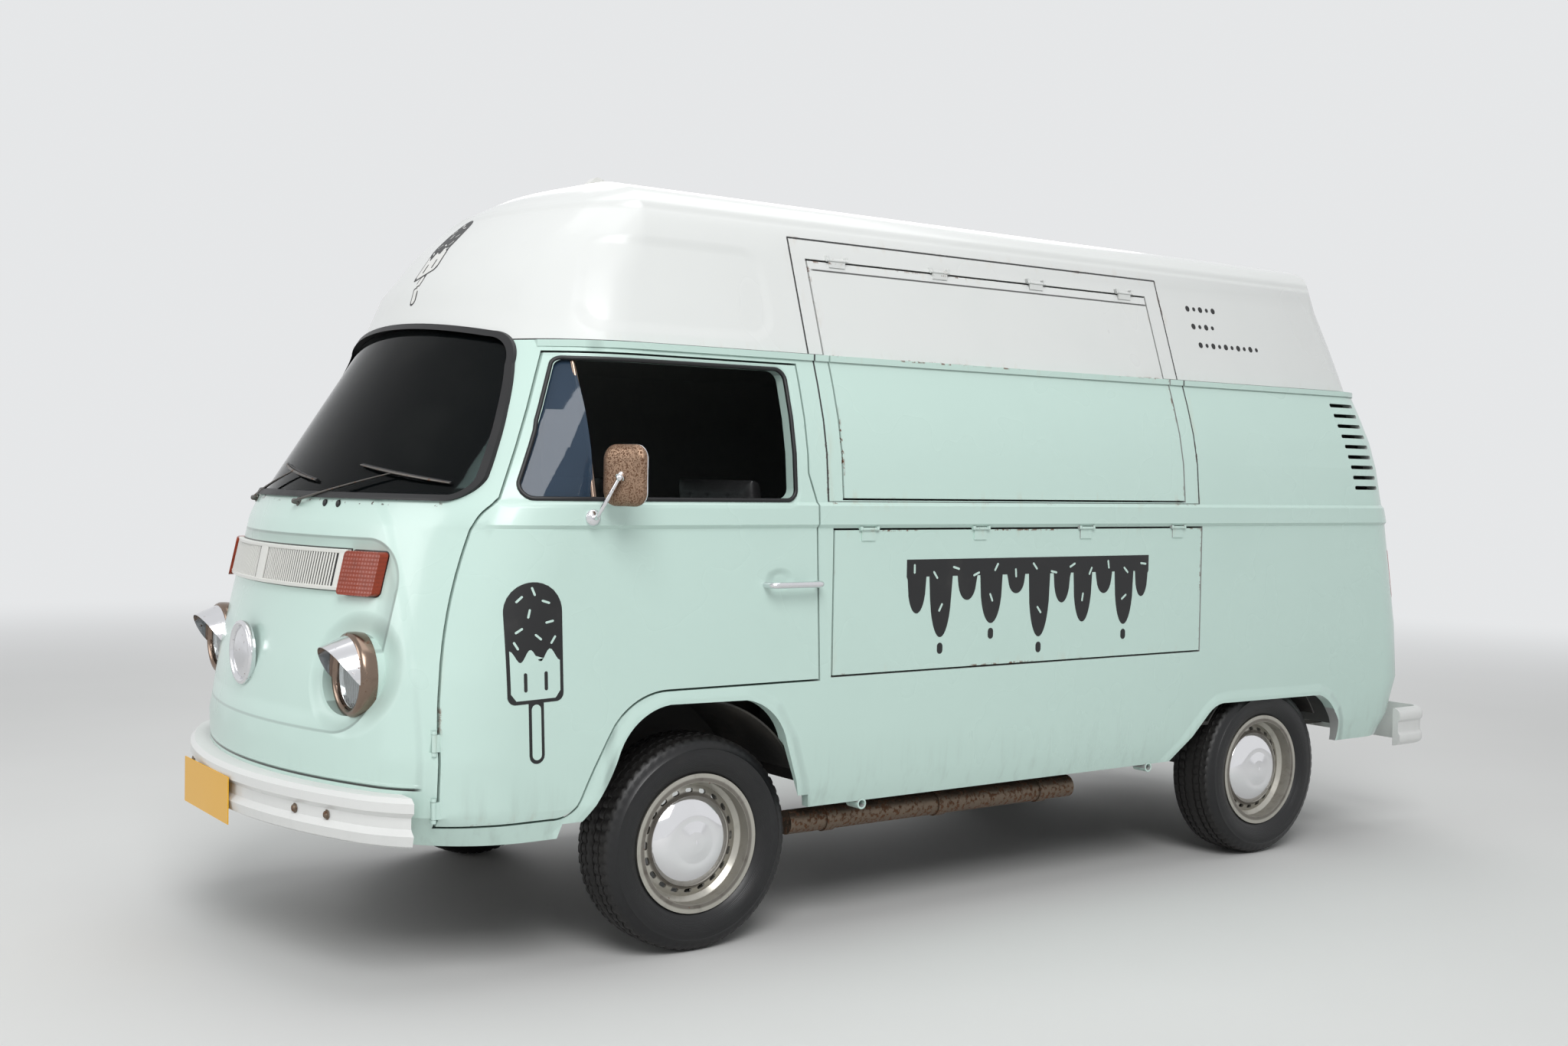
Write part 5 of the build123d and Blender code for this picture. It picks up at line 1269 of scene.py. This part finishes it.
@dataclass
class NoseTrim(Assembly):
    """Fresh-air grille, domed disc and bumper bolts."""

    sides: Tuple[float, ...] = GRILLE
    rim: float = 0.011
    pitch: float = 0.0120
    divider: float = 0.030
    bolts: Tuple[float, ...] = (0.437, 0.561, -0.437, -0.561)
    bolt_z: float = 0.452

    def bar(self, skin: Skin, spots: Sequence[Pair], half: float, deep: float, out: float,
            along: Optional[Vector] = None) -> BMesh:
        """One bar of the grille, standing square on the nose in plan.

        Args:
            skin: The nose.
            spots: Points along the bar, (x, z).
            half: Half of its width.
            deep: Its depth.
            out: How far its face stands off.
            along: The nose's run in plan, for an upright bar. A level bar follows the nose.

        Returns:
            The open bmesh.
        """
        section = ((-1, 1), (-1, 0.12), (-0.5, 0), (0.5, 0), (1, 0.12), (1, 1)) if along else \
            ((-1, 1), (-1, 0.2), (-0.7, 0), (0.7, 0), (1, 0.2), (1, 1))
        rings = []
        for x, z in spots:
            base = skin.point(Side.FRONT, x, z)
            if base is None:
                continue
            run = along or (skin.point(Side.FRONT, x + 0.004, z) - base).normalized()
            normal = Vector((run.y, -run.x, 0.0)).normalized()
            wide = run * half if along else Vector((0, 0, half))
            rings.append([base + normal * out + wide * a - normal * deep * b for a, b in section])
        return loft(rings)

    def upright(self, skin: Skin, x: float, half: float, low: float, high: float, deep: float,
                out: float) -> BMesh:
        """One upright bar of the grille."""
        left, right = (skin.point(Side.FRONT, x + step, (low + high) / 2) for step in (-0.004, 0.004))
        along = (right - left).normalized() if left and right else OUTWARD
        return self.bar(skin, [(x, low + (high - low) * k / 5) for k in range(6)], half, deep, out, along)

    def grille(self) -> None:
        """Make the grille's frame, divider and fins, and a black sheet behind them as painted shade in the
        openings.
        """
        skin = Skin(("body_shell",))
        _, half, low, high = self.sides
        low, high = low + self.rim / 2, high - self.rim / 2
        across = [-half + 2 * half * k / 60 for k in range(61)]
        bars = [self.bar(skin, [(x, z) for x in across], self.rim / 2, 0.014, 0.0150) for z in (low, high)]
        for x, wide in ((half - 0.017, 0.017), (-(half - 0.017), 0.017), (0.0, self.divider)):
            bars.append(self.upright(skin, x, wide, low, high, 0.013, 0.0142))
        inner = half - 0.034
        count = int((inner - self.divider) / self.pitch)
        for sign in (1, -1):
            for k in range(1, count + 1):
                x = sign * (self.divider + k * (inner - self.divider) / (count + 1))
                bars.append(self.upright(skin, x, 0.0030, low, high, 0.0022, 0.0128))
        self.add("fresh_air_grille", bars, 40, "grille_plastic", stands_for="front_grille")
        # Black sheet behind the fins: painted shade in the grille's openings.
        shadow_sheet = box_path((-half + 0.006, half - 0.006, low, high), 0.0)
        self.sheet("grille_gauze", Side.FRONT, [shadow_sheet], 0.0103, 0.0012, "artwork_black", skin=skin,
                   slot="grille_white")

    def build(self) -> None:
        """Make every piece."""
        self.grille()
        low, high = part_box("nose_disc")
        size = (high[2] - low[2]) / 2
        face = -low[1] - 0.004
        steps = [(0.008, 0.0), (0.0035, 0.001), (0.0005, 0.005), (0.0, 0.009), (0.0015, 0.013),
                 (0.0055, 0.0155), (0.0085, 0.018), (0.0085, 0.022), (0.0040, 0.030), (0.0018, 0.045),
                 (0.0008, 0.065)]
        disc = [(face - 0.020, size * 0.985)] + [(face - back, size - inset) for back, inset in steps]
        disc.append((face - 0.0003, 0.0006))
        centre = ((low[0] + high[0]) / 2, 0.0, (low[2] + high[2]) / 2)
        self.add("nose_roundel", lathe(disc, centre, AHEAD, 96), 50, "chrome_trim", stands_for="nose_disc")
        head = [(-0.002, 0.013), (0.0015, 0.013), (0.002, 0.010), (0.006, 0.009), (0.008, 0.006),
                (0.0085, 0.0005)]
        spots = Skin(("front_bumper",)).points(Side.FRONT, [(x, self.bolt_z) for x in self.bolts])
        self.add("bumper_bolts", [lathe(head, spot, AHEAD, 24) for spot in spots], 30, "exhaust_metal")


@dataclass
class Headlamps(Assembly):
    """Ring, peaked visor, bowl and bulb of both headlamps."""

    x: float = LAMP_AT[0]
    y: float = -2.069
    z: float = LAMP_AT[1]
    ring: float = 0.1095
    visor_reach: float = 0.070

    def ring_profile(self) -> List[Pair]:
        """The ring's section from its sleeve over the bead to its inner lip."""
        steps = [(-0.030, -0.001), (-0.030, 0.0005), (-0.014, 0.0020), (0.002, 0.002), (0.009, -0.001),
                 (0.0135, -0.006), (0.015, -0.011), (0.0135, -0.016), (0.009, -0.0195),
                 (0.007, -0.021), (-0.001, -0.022), (-0.001, -0.0235), (-0.012, -0.0215)]
        return [(along, self.ring + more) for along, more in steps]

    def visor(self, sign: int) -> BMesh:
        """The sheet metal peak over one lamp."""
        bm = bmesh.new()
        across, along = 36, 10
        rows: List[List[bmesh.types.BMVert]] = []
        for i in range(across + 1):
            angle = math.radians(-98 + 196 * i / across)
            reach = self.visor_reach * max(0.0, math.cos(angle * 0.90)) ** 0.75
            row = []
            for k in range(along + 1):
                ahead = reach * k / along
                radius = self.ring - 0.006 - 0.30 * ahead
                row.append(bm.verts.new((
                    sign * self.x + radius * math.sin(angle), self.y - 0.010 - ahead,
                    self.z + radius * math.cos(angle) - 0.10 * ahead)))
            rows.append(row)
        for first, second in zip(rows, rows[1:]):
            for k in range(along):
                bm.faces.new((first[k], second[k], second[k + 1], first[k + 1]))
        bmesh.ops.remove_doubles(bm, verts=bm.verts, dist=2e-4)
        return bm

    def build(self) -> None:
        """Make both lamps."""
        bowl = [(0.002, 0.010), (0.003, 0.018), (0.006, 0.034), (0.011, 0.052), (0.017, 0.068),
                (0.023, 0.080), (0.027, 0.086)]
        bulb = [(0.002, 0.0005), (0.002, 0.012), (0.014, 0.012), (0.018, 0.009), (0.0195, 0.0005)]
        rings, peaks, bowls = [], [], []
        for sign in (1, -1):
            rings.append(lathe(self.ring_profile(), (sign * self.x, self.y, self.z), AHEAD, 96))
            peaks.append(self.visor(sign))
            inside = (sign * self.x, self.y + 0.0285, self.z)
            bowls += [lathe(bowl, inside, AHEAD, 64), lathe(bulb, inside, AHEAD, 24)]
        self.add("headlamp_bezels", rings, 60, "lamp_chrome", stands_for="headlamp_rings")
        peak = self.add("headlamp_visors", peaks, 60, "chrome_trim")
        solid = peak.modifiers.new("sheet", "SOLIDIFY")
        solid.thickness, solid.offset = 0.0016, -1.0
        self.add("headlamp_bowls", bowls, 60, "mirror_silver")


@dataclass
class Wipers(Assembly):
    """Two thin wipers on their spindles, and the rubber nozzles beside them."""

    shifts: Pair = (0.0, -0.525)
    pivot: Pair = (0.113, 1.241)
    elbow: Pair = (0.486, 1.329)
    blade: Tuple[Pair, Pair] = ((0.319, 1.346), (0.662, 1.302))
    nozzles: Tuple[Pair, ...] = ((0.262, 1.241), (0.325, 1.240))

    def build(self) -> None:
        """Make arms, blades, spindles and nozzles."""
        glass, cowl = Skin(("windscreen",)), Skin(("body_shell", "windscreen_seal"))
        spindle = [(-0.002, 0.0125), (0.004, 0.0125), (0.006, 0.008), (0.016, 0.0075), (0.020, 0.005),
                   (0.021, 0.0005)]
        arms, blades = [], []
        for shift in self.shifts:
            foot = cowl.point(Side.FRONT, self.pivot[0] + shift, self.pivot[1])
            elbow = glass.point(Side.FRONT, self.elbow[0] + shift, self.elbow[1], 0.019)
            knuckle = foot + Vector((0.016, -0.017, 0.004))
            run = [foot + Vector((0.0, -0.014, 0.001))]
            run += [knuckle.lerp(elbow, k / 10) + AHEAD * (0.010 * math.sin(turn))
                    for k, turn in enumerate(arc(10))]
            (x0, z0), (x1, z1) = self.blade
            spots = glass.points(Side.FRONT, [(x0 + (x1 - x0) * k / 14 + shift, z0 + (z1 - z0) * k / 14)
                                              for k in range(15)])
            bow = [p + AHEAD * (0.011 + 0.007 * math.sin(turn)) for p, turn in zip(spots, arc(14))]
            arms += [lathe(spindle, foot, Vector((0.0, -1.0, 0.12)), 24),
                     tube(run, lambda t: 0.0058 - 0.0030 * t, 10, False, 0.7),
                     tube(bow, lambda t: 0.0024 + 0.0016 * math.sin(math.pi * t), 8)]
            blades.append(tube([p + AHEAD * 0.006 for p in spots], 0.0034, 8, False, 1.4))
        self.add("wiper_arms", arms, 45, "wiper_steel", stands_for="wipers")
        self.add("wiper_blades", blades, 45, "seal_rubber")
        pip = [(-0.002, 0.0105), (0.002, 0.0105), (0.005, 0.007), (0.006, 0.0005)]
        pips = [lathe(pip, spot, Vector((0.0, -1.0, 0.15)), 20)
                for spot in cowl.points(Side.FRONT, self.nozzles)]
        self.add("cowl_nozzles", pips, 45, "seal_rubber")


@dataclass
class RearBumper(Assembly):
    """The pressed rear bumper, with square ends that wrap round the corners."""

    end_y: float = 2.034
    side_x: float = 0.842
    corner: float = 0.075
    rear_y: float = 2.2520
    bow: float = 0.018
    deep: float = 0.032

    def plan(self) -> List[Tuple[Vector, Vector]]:
        """Points of the outer face in plan, each with its outward direction."""
        half: List[Tuple[Vector, Vector]] = []
        centre = Vector((self.side_x - self.corner, self.rear_y - self.bow - self.corner, 0.0))
        for k in range(5):
            y = self.end_y + (centre.y - self.end_y) * k / 5
            half.append((Vector((self.side_x, y, 0.0)), OUTWARD))
        for k in range(13):
            angle = math.pi / 2 * k / 12
            out = Vector((math.cos(angle), math.sin(angle), 0.0))
            half.append((centre + out * self.corner, out))
        for k in range(1, 13):
            x = centre.x * (1 - k / 12)
            bulge = self.bow * (1 - (x / centre.x) ** 2)
            half.append((Vector((x, self.rear_y - self.bow + bulge, 0.0)),
                         Vector((2 * self.bow * x / centre.x ** 2, 1.0, 0.0)).normalized()))
        return half + [(Vector((-p.x, p.y, 0.0)), Vector((-n.x, n.y, 0.0))) for p, n in reversed(half[:-1])]

    def build(self) -> None:
        """Sweep the section along the plan and close the ends."""
        rows = [(0.330, -0.022), (0.336, -0.010), (0.345, -0.001), (0.352, 0.0), (0.369, 0.0),
                (0.374, -0.002), (0.379, -0.007), (0.385, -0.008), (0.420, -0.008), (0.425, -0.007),
                (0.429, -0.002), (0.434, 0.0), (0.452, -0.001), (0.462, -0.005), (0.470, -0.013),
                (0.474, -0.022), (0.4745, -self.deep), (0.3295, -self.deep)]
        rings = [[p + n * out + Vector((0.0, 0.0, z)) for z, out in rows] for p, n in self.plan()]
        self.add("rear_bumper_bar", loft(rings), 50, "bumper_enamel", stands_for="rear_bumper")


@dataclass
class DoorMirrors(Assembly):
    """Rounded mirror heads on a bent arm, turned back towards the driver."""

    foot: Point = (0.8615, -1.544, 1.218)
    head: Point = (0.947, -1.500, 1.330)
    half: Pair = (0.066, 0.080)
    corner: float = 0.036
    turn: float = 24.0

    def build(self) -> None:
        """Make both mirrors."""
        w, h = self.half
        outline = box_path((-w, w, -h, h), self.corner, 0.012)
        layers = [(-0.016, 0.52), (-0.014, 0.78), (-0.009, 0.93), (-0.002, 0.985), (0.004, 1.0),
                  (0.008, 1.0), (0.0095, 0.985), (0.0095, 0.93)]
        for name, sign in SIDES:
            head = Vector((sign * self.head[0], self.head[1], self.head[2]))
            turn = Matrix.Rotation(math.radians(sign * self.turn), 3, "Z")
            body = f"cab_door_{name}"

            def ring(size: float, y: float) -> List[Vector]:
                """The head's outline at a size and depth."""
                return [head + turn @ Vector((u * size, y, v * size)) for u, v in outline]

            self.add(f"mirror_shell_{name}", loft([ring(size, y) for y, size in layers], ends=1), 50,
                     "bronze_shell", body, f"mirror_{name}")
            pane = bmesh.new()
            pane.faces.new([pane.verts.new(point) for point in ring(0.935, 0.0085)])
            self.add(f"mirror_pane_{name}", pane, 50, "mirror_silver", body)
            foot = Vector((sign * self.foot[0], self.foot[1], self.foot[2]))
            knee = foot + Vector((sign * 0.046, -0.010, 0.006))
            socket = head + turn @ Vector((0.0, -0.022, -0.006))
            path = [foot + Vector((sign * -0.004, 0, 0)), foot + Vector((sign * 0.024, -0.003, 0.0))]
            path += [path[1].lerp(knee, k / 12).lerp(knee.lerp(socket, k / 12), k / 12) for k in range(13)]
            base = [(-0.004, 0.022), (0.003, 0.022), (0.008, 0.017), (0.011, 0.009), (0.012, 0.0005)]
            ball = [(-0.010 * math.cos(t), max(0.0004, 0.010 * math.sin(t))) for t in arc(10)]
            self.add(f"mirror_arm_{name}", [
                tube(path, lambda t: 0.0062 - 0.0012 * t, 12),
                lathe(base, foot, Vector((sign, 0.0, 0.0)), 32), lathe(ball, socket, BEHIND, 20),
                tube([socket, head + turn @ Vector((0, -0.014, 0))], 0.012, 16),
                tube(ring(0.975, 0.0085), 0.0028, 8, True)], 45, "chrome_trim", body)


@dataclass
class Motifs(Assembly):
    """Plain black ornament on the door, the flap and the roof: lollies, icing and dots."""

    drips: Tuple[Point, ...] = (
        (-0.430, 0.036, 0.110), (-0.335, 0.044, 0.185), (-0.228, 0.038, 0.075),
        (-0.128, 0.046, 0.150), (-0.022, 0.036, 0.060), (0.078, 0.046, 0.200),
        (0.178, 0.036, 0.095), (0.272, 0.042, 0.160), (0.370, 0.036, 0.070),
        (0.465, 0.044, 0.175), (0.548, 0.030, 0.085),
    )
    sprinkles: Tuple[Point, ...] = (
        (-0.09, 0.74, 30), (0.02, 0.70, -40), (0.09, 0.78, 10), (-0.03, 0.83, 75), (0.07, 0.89, -20),
        (-0.08, 0.91, 40), (0.0, 0.95, -70), (-0.11, 0.66, -60), (0.11, 0.68, 55),
    )

    def lolly(self, name: str, side: Side, place: Pair, height: float, tilt: float, body: str,
              bare: str) -> None:
        """A dipped ice lolly on its stick.

        Args:
            name: The piece's name.
            side: The side it is laid on.
            place: Centre of its lower end.
            height: Its whole height.
            tilt: Its lean in degrees.
            body: The body that it rides on.
            bare: Finish of its undipped part.
        """
        cos, sin = math.cos(math.radians(tilt)), math.sin(math.radians(tilt))

        def lay(part: str, shapes: Sequence[Sequence[Pair]], out: float, thick: float, finish: str) -> None:
            """Scale, lean and place shapes drawn at unit height, and lay them as one sheet."""
            placed = [[(place[0] + height * (u * cos - v * sin), place[1] + height * (u * sin + v * cos))
                       for u, v in shape] for shape in shapes]
            self.sheet(name + part, side, placed, out, thick, finish, body)

        black, half, low, edge = "artwork_black", 0.168, 0.34, 0.020
        bar = box_path((-half, half, low, 1.0), [0.045, 0.045, 0.166, 0.166], 0.04)
        lay("", [bar], 0.0007, 0.0007, black)
        lay("_stick", [pill((0.0, 0.052), (0.0, low + 0.02), 0.046)], 0.0005, 0.0005, black)
        side_u = half - edge
        dip = [(-side_u + 2 * side_u * k / 24, 0.600 + 0.034 * math.cos(k / 24 * math.tau * 2.5))
               for k in range(25)]
        core = [(-side_u, low + 0.06), (-side_u + 0.03, low + edge), (side_u - 0.03, low + edge),
                (side_u, low + 0.06)] + list(reversed(dip))
        lay("_core", [core], 0.0012, 0.0006, bare)
        lay("_stick_core", [pill((0.0, 0.055), (0.0, low - 0.035), 0.028)], 0.0010, 0.0006, bare)
        grooves = [pill((u, low + 0.075), (u, 0.50), 0.010) for u in (-0.062, 0.062)]
        lay("_grooves", grooves, 0.0017, 0.0006, black)
        strands = [self.dash(u, v, lean, 0.020, 0.0062) for u, v, lean in self.sprinkles]
        lay("_sprinkles", strands, 0.0013, 0.0007, bare)

    @staticmethod
    def dash(u: float, v: float, lean: float, reach: float, half: float) -> List[Pair]:
        """One sugar strand: a short bar with round ends at a lean in degrees."""
        across, up = reach * math.cos(math.radians(lean)), reach * math.sin(math.radians(lean))
        return pill((u - across, v - up), (u + across, v + up), half, 4)

    def icing(self) -> None:
        """A band of melting icing with sugar strands, and drops that have left it."""
        start, end, top, base, steps = -0.470, 0.582, 1.092, 1.040, 260
        lower: List[Pair] = []
        for k in range(steps + 1):
            y = start + (end - start) * k / steps
            drops = (deep * max(0.0, 1 - ((y - mid) / half) ** 2) ** 0.42 for mid, half, deep in self.drips)
            lower.append((y, base - max(drops)))
        columns = [[first, second, (second[0], top), (first[0], top)]
                   for first, second in zip(lower, lower[1:])]
        fallen = [pill((y, z), (y, z + 0.012), 0.011, 10)
                  for y, z in ((-0.335, 0.815), (0.078, 0.800), (0.465, 0.826), (-0.128, 0.852))]
        strands = [(-0.44 + 0.083 * k, 1.064 - 0.020 * (k % 2), (37 * k) % 180 - 90) for k in range(13)]
        strands += [(-0.335, 0.945, 60), (0.078, 0.925, -50), (0.465, 0.955, 35), (-0.128, 0.970, -65),
                    (0.272, 0.960, 80)]
        sugar = [self.dash(y, z, lean, 0.011, 0.0034) for y, z, lean in strands]
        for name, shapes, out, finish in (("flap_icing", columns, 0.0007, "artwork_black"),
                                          ("flap_drops", fallen, 0.0007, "artwork_black"),
                                          ("flap_icing_strands", sugar, 0.0013, "motif_mint")):
            self.sheet(name, Side.LEFT, shapes, out, 0.0007, finish, "flap")

    def build(self) -> None:
        """Lay every motif."""
        self.lolly("door_lolly", Side.LEFT, (-1.690, 0.583), 0.470, 2.0, "cab_door_left", "motif_mint")
        self.lolly("roof_lolly", Side.FRONT, (0.070, 1.812), 0.300, 22.0, "chassis", "fin_plastic")
        self.icing()
        dots = [pill((start + 0.034 * k, z), (start + 0.034 * k, z), 0.0105 - 0.003 * (k % 2), 8)
                for start, count, z in ((0.975, 5, 1.957), (0.985, 4, 1.893), (1.000, 10, 1.826))
                for k in range(count)]
        self.sheet("roof_dots", Side.LEFT, dots, 0.0007, 0.0007, "artwork_black")


@dataclass
class RearTrim(Assembly):
    """Pull and lock of the rear door, and latch of the engine lid."""

    pull: Tuple[float, float, float] = (-0.062, 0.062, 0.985)
    lock_z: float = 0.945
    latch_z: float = 0.560

    def build(self) -> None:
        """Make every piece."""
        tail, lid = Skin(("tailgate",)), Skin(("engine_lid",))
        left, right = (tail.point(Side.REAR, x, self.pull[2]) for x in self.pull[:2])
        middle = (left + right) / 2
        bar = [left + BEHIND * 0.002, left + BEHIND * 0.020, left.lerp(middle, 0.25) + BEHIND * 0.030,
               middle + BEHIND * 0.032, right.lerp(middle, 0.25) + BEHIND * 0.030,
               right + BEHIND * 0.020, right + BEHIND * 0.002]
        foot = [(-0.002, 0.014), (0.004, 0.014), (0.007, 0.010), (0.008, 0.0005)]
        lock = [(-0.002, 0.016), (0.006, 0.016), (0.010, 0.013), (0.010, 0.008), (0.007, 0.007),
                (0.007, 0.0005)]
        latch = [(-0.002, 0.024), (0.004, 0.024), (0.008, 0.020), (0.009, 0.012), (0.014, 0.010),
                 (0.015, 0.0005)]
        parts = [tube(bar, 0.0075, 12, False, 1.2),
                 lathe(lock, tail.point(Side.REAR, 0.0, self.lock_z), BEHIND, 32)]
        parts += [lathe(foot, end, BEHIND, 24) for end in (left, right)]
        self.add("tailgate_pull", parts, 40, "chrome_trim", "rear_door")
        self.add("lid_latch", lathe(latch, lid.point(Side.REAR, 0.0, self.latch_z), BEHIND, 32), 40,
                 "chrome_trim", "rear_lid")


@dataclass
class CabTrim(Assembly):
    """Sun visors, door cards and gear lever."""

    visor: Tuple[float, ...] = (0.10, 0.47, -0.075, 0.075)
    hinge: Point = (0.0, -1.545, 1.640)
    lean: float = -24.0

    def build(self) -> None:
        """Make every piece."""
        outline = box_path(self.visor, 0.03)
        middle = (self.visor[0] + self.visor[1]) / 2
        lean = Matrix.Rotation(math.radians(self.lean), 3, "X")
        card = rounded_path([(-1.500, 0.790), (-0.870, 0.790), (-0.870, 1.165), (-1.760, 1.165),
                             (-1.780, 0.960)], 0.03)
        for side, (name, sign) in zip((Side.LEFT, Side.RIGHT), SIDES):
            rings = [[Vector((sign * (middle + (u - middle) * size), 0.0, 0.0)) + Vector(self.hinge)
                      + lean @ Vector((0.0, deep, v * size)) for u, v in outline]
                     for deep, size in ((-0.008, 0.97), (-0.004, 1.0), (0.004, 1.0), (0.008, 0.97))]
            self.add(f"sun_visor_{name}", loft(rings), 50, "visor_vinyl")
            self.sheet(f"door_card_{name}", side, [card], 0.006, 0.0055, "seat_vinyl_black",
                       f"cab_door_{name}", Skin((f"door_{name}",)), True)
        stem = tube([Vector((0.0, -1.28, 0.52)), Vector((0.0, -1.30, 0.74)), Vector((0.01, -1.31, 0.90))],
                    lambda t: 0.008 - 0.002 * t, 12)
        ball = [(-0.024 * math.cos(t), max(0.0005, 0.022 * math.sin(t))) for t in arc(12)]
        knob = lathe(ball, (0.01, -1.31, 0.915), UP, 24)
        self.add("gear_lever", [stem, knob], 50, "dash_plastic")


def main() -> None:
    """Build the set, the finishes and every sub-assembly in order."""
    logging.basicConfig(level=logging.INFO, format="%(message)s")
    Studio().build()
    materials = {finish.name: finish.make() for finish in FINISHES}
    for assembly in (PlainNodes, BodyPanels, Wheels, CabSeats, WindowTrim, NoseTrim, Headlamps, Wipers,
                     RearBumper, DoorMirrors, Motifs, RearTrim, CabTrim):
        assembly(materials).build()


if __name__ == "__main__":
    main()
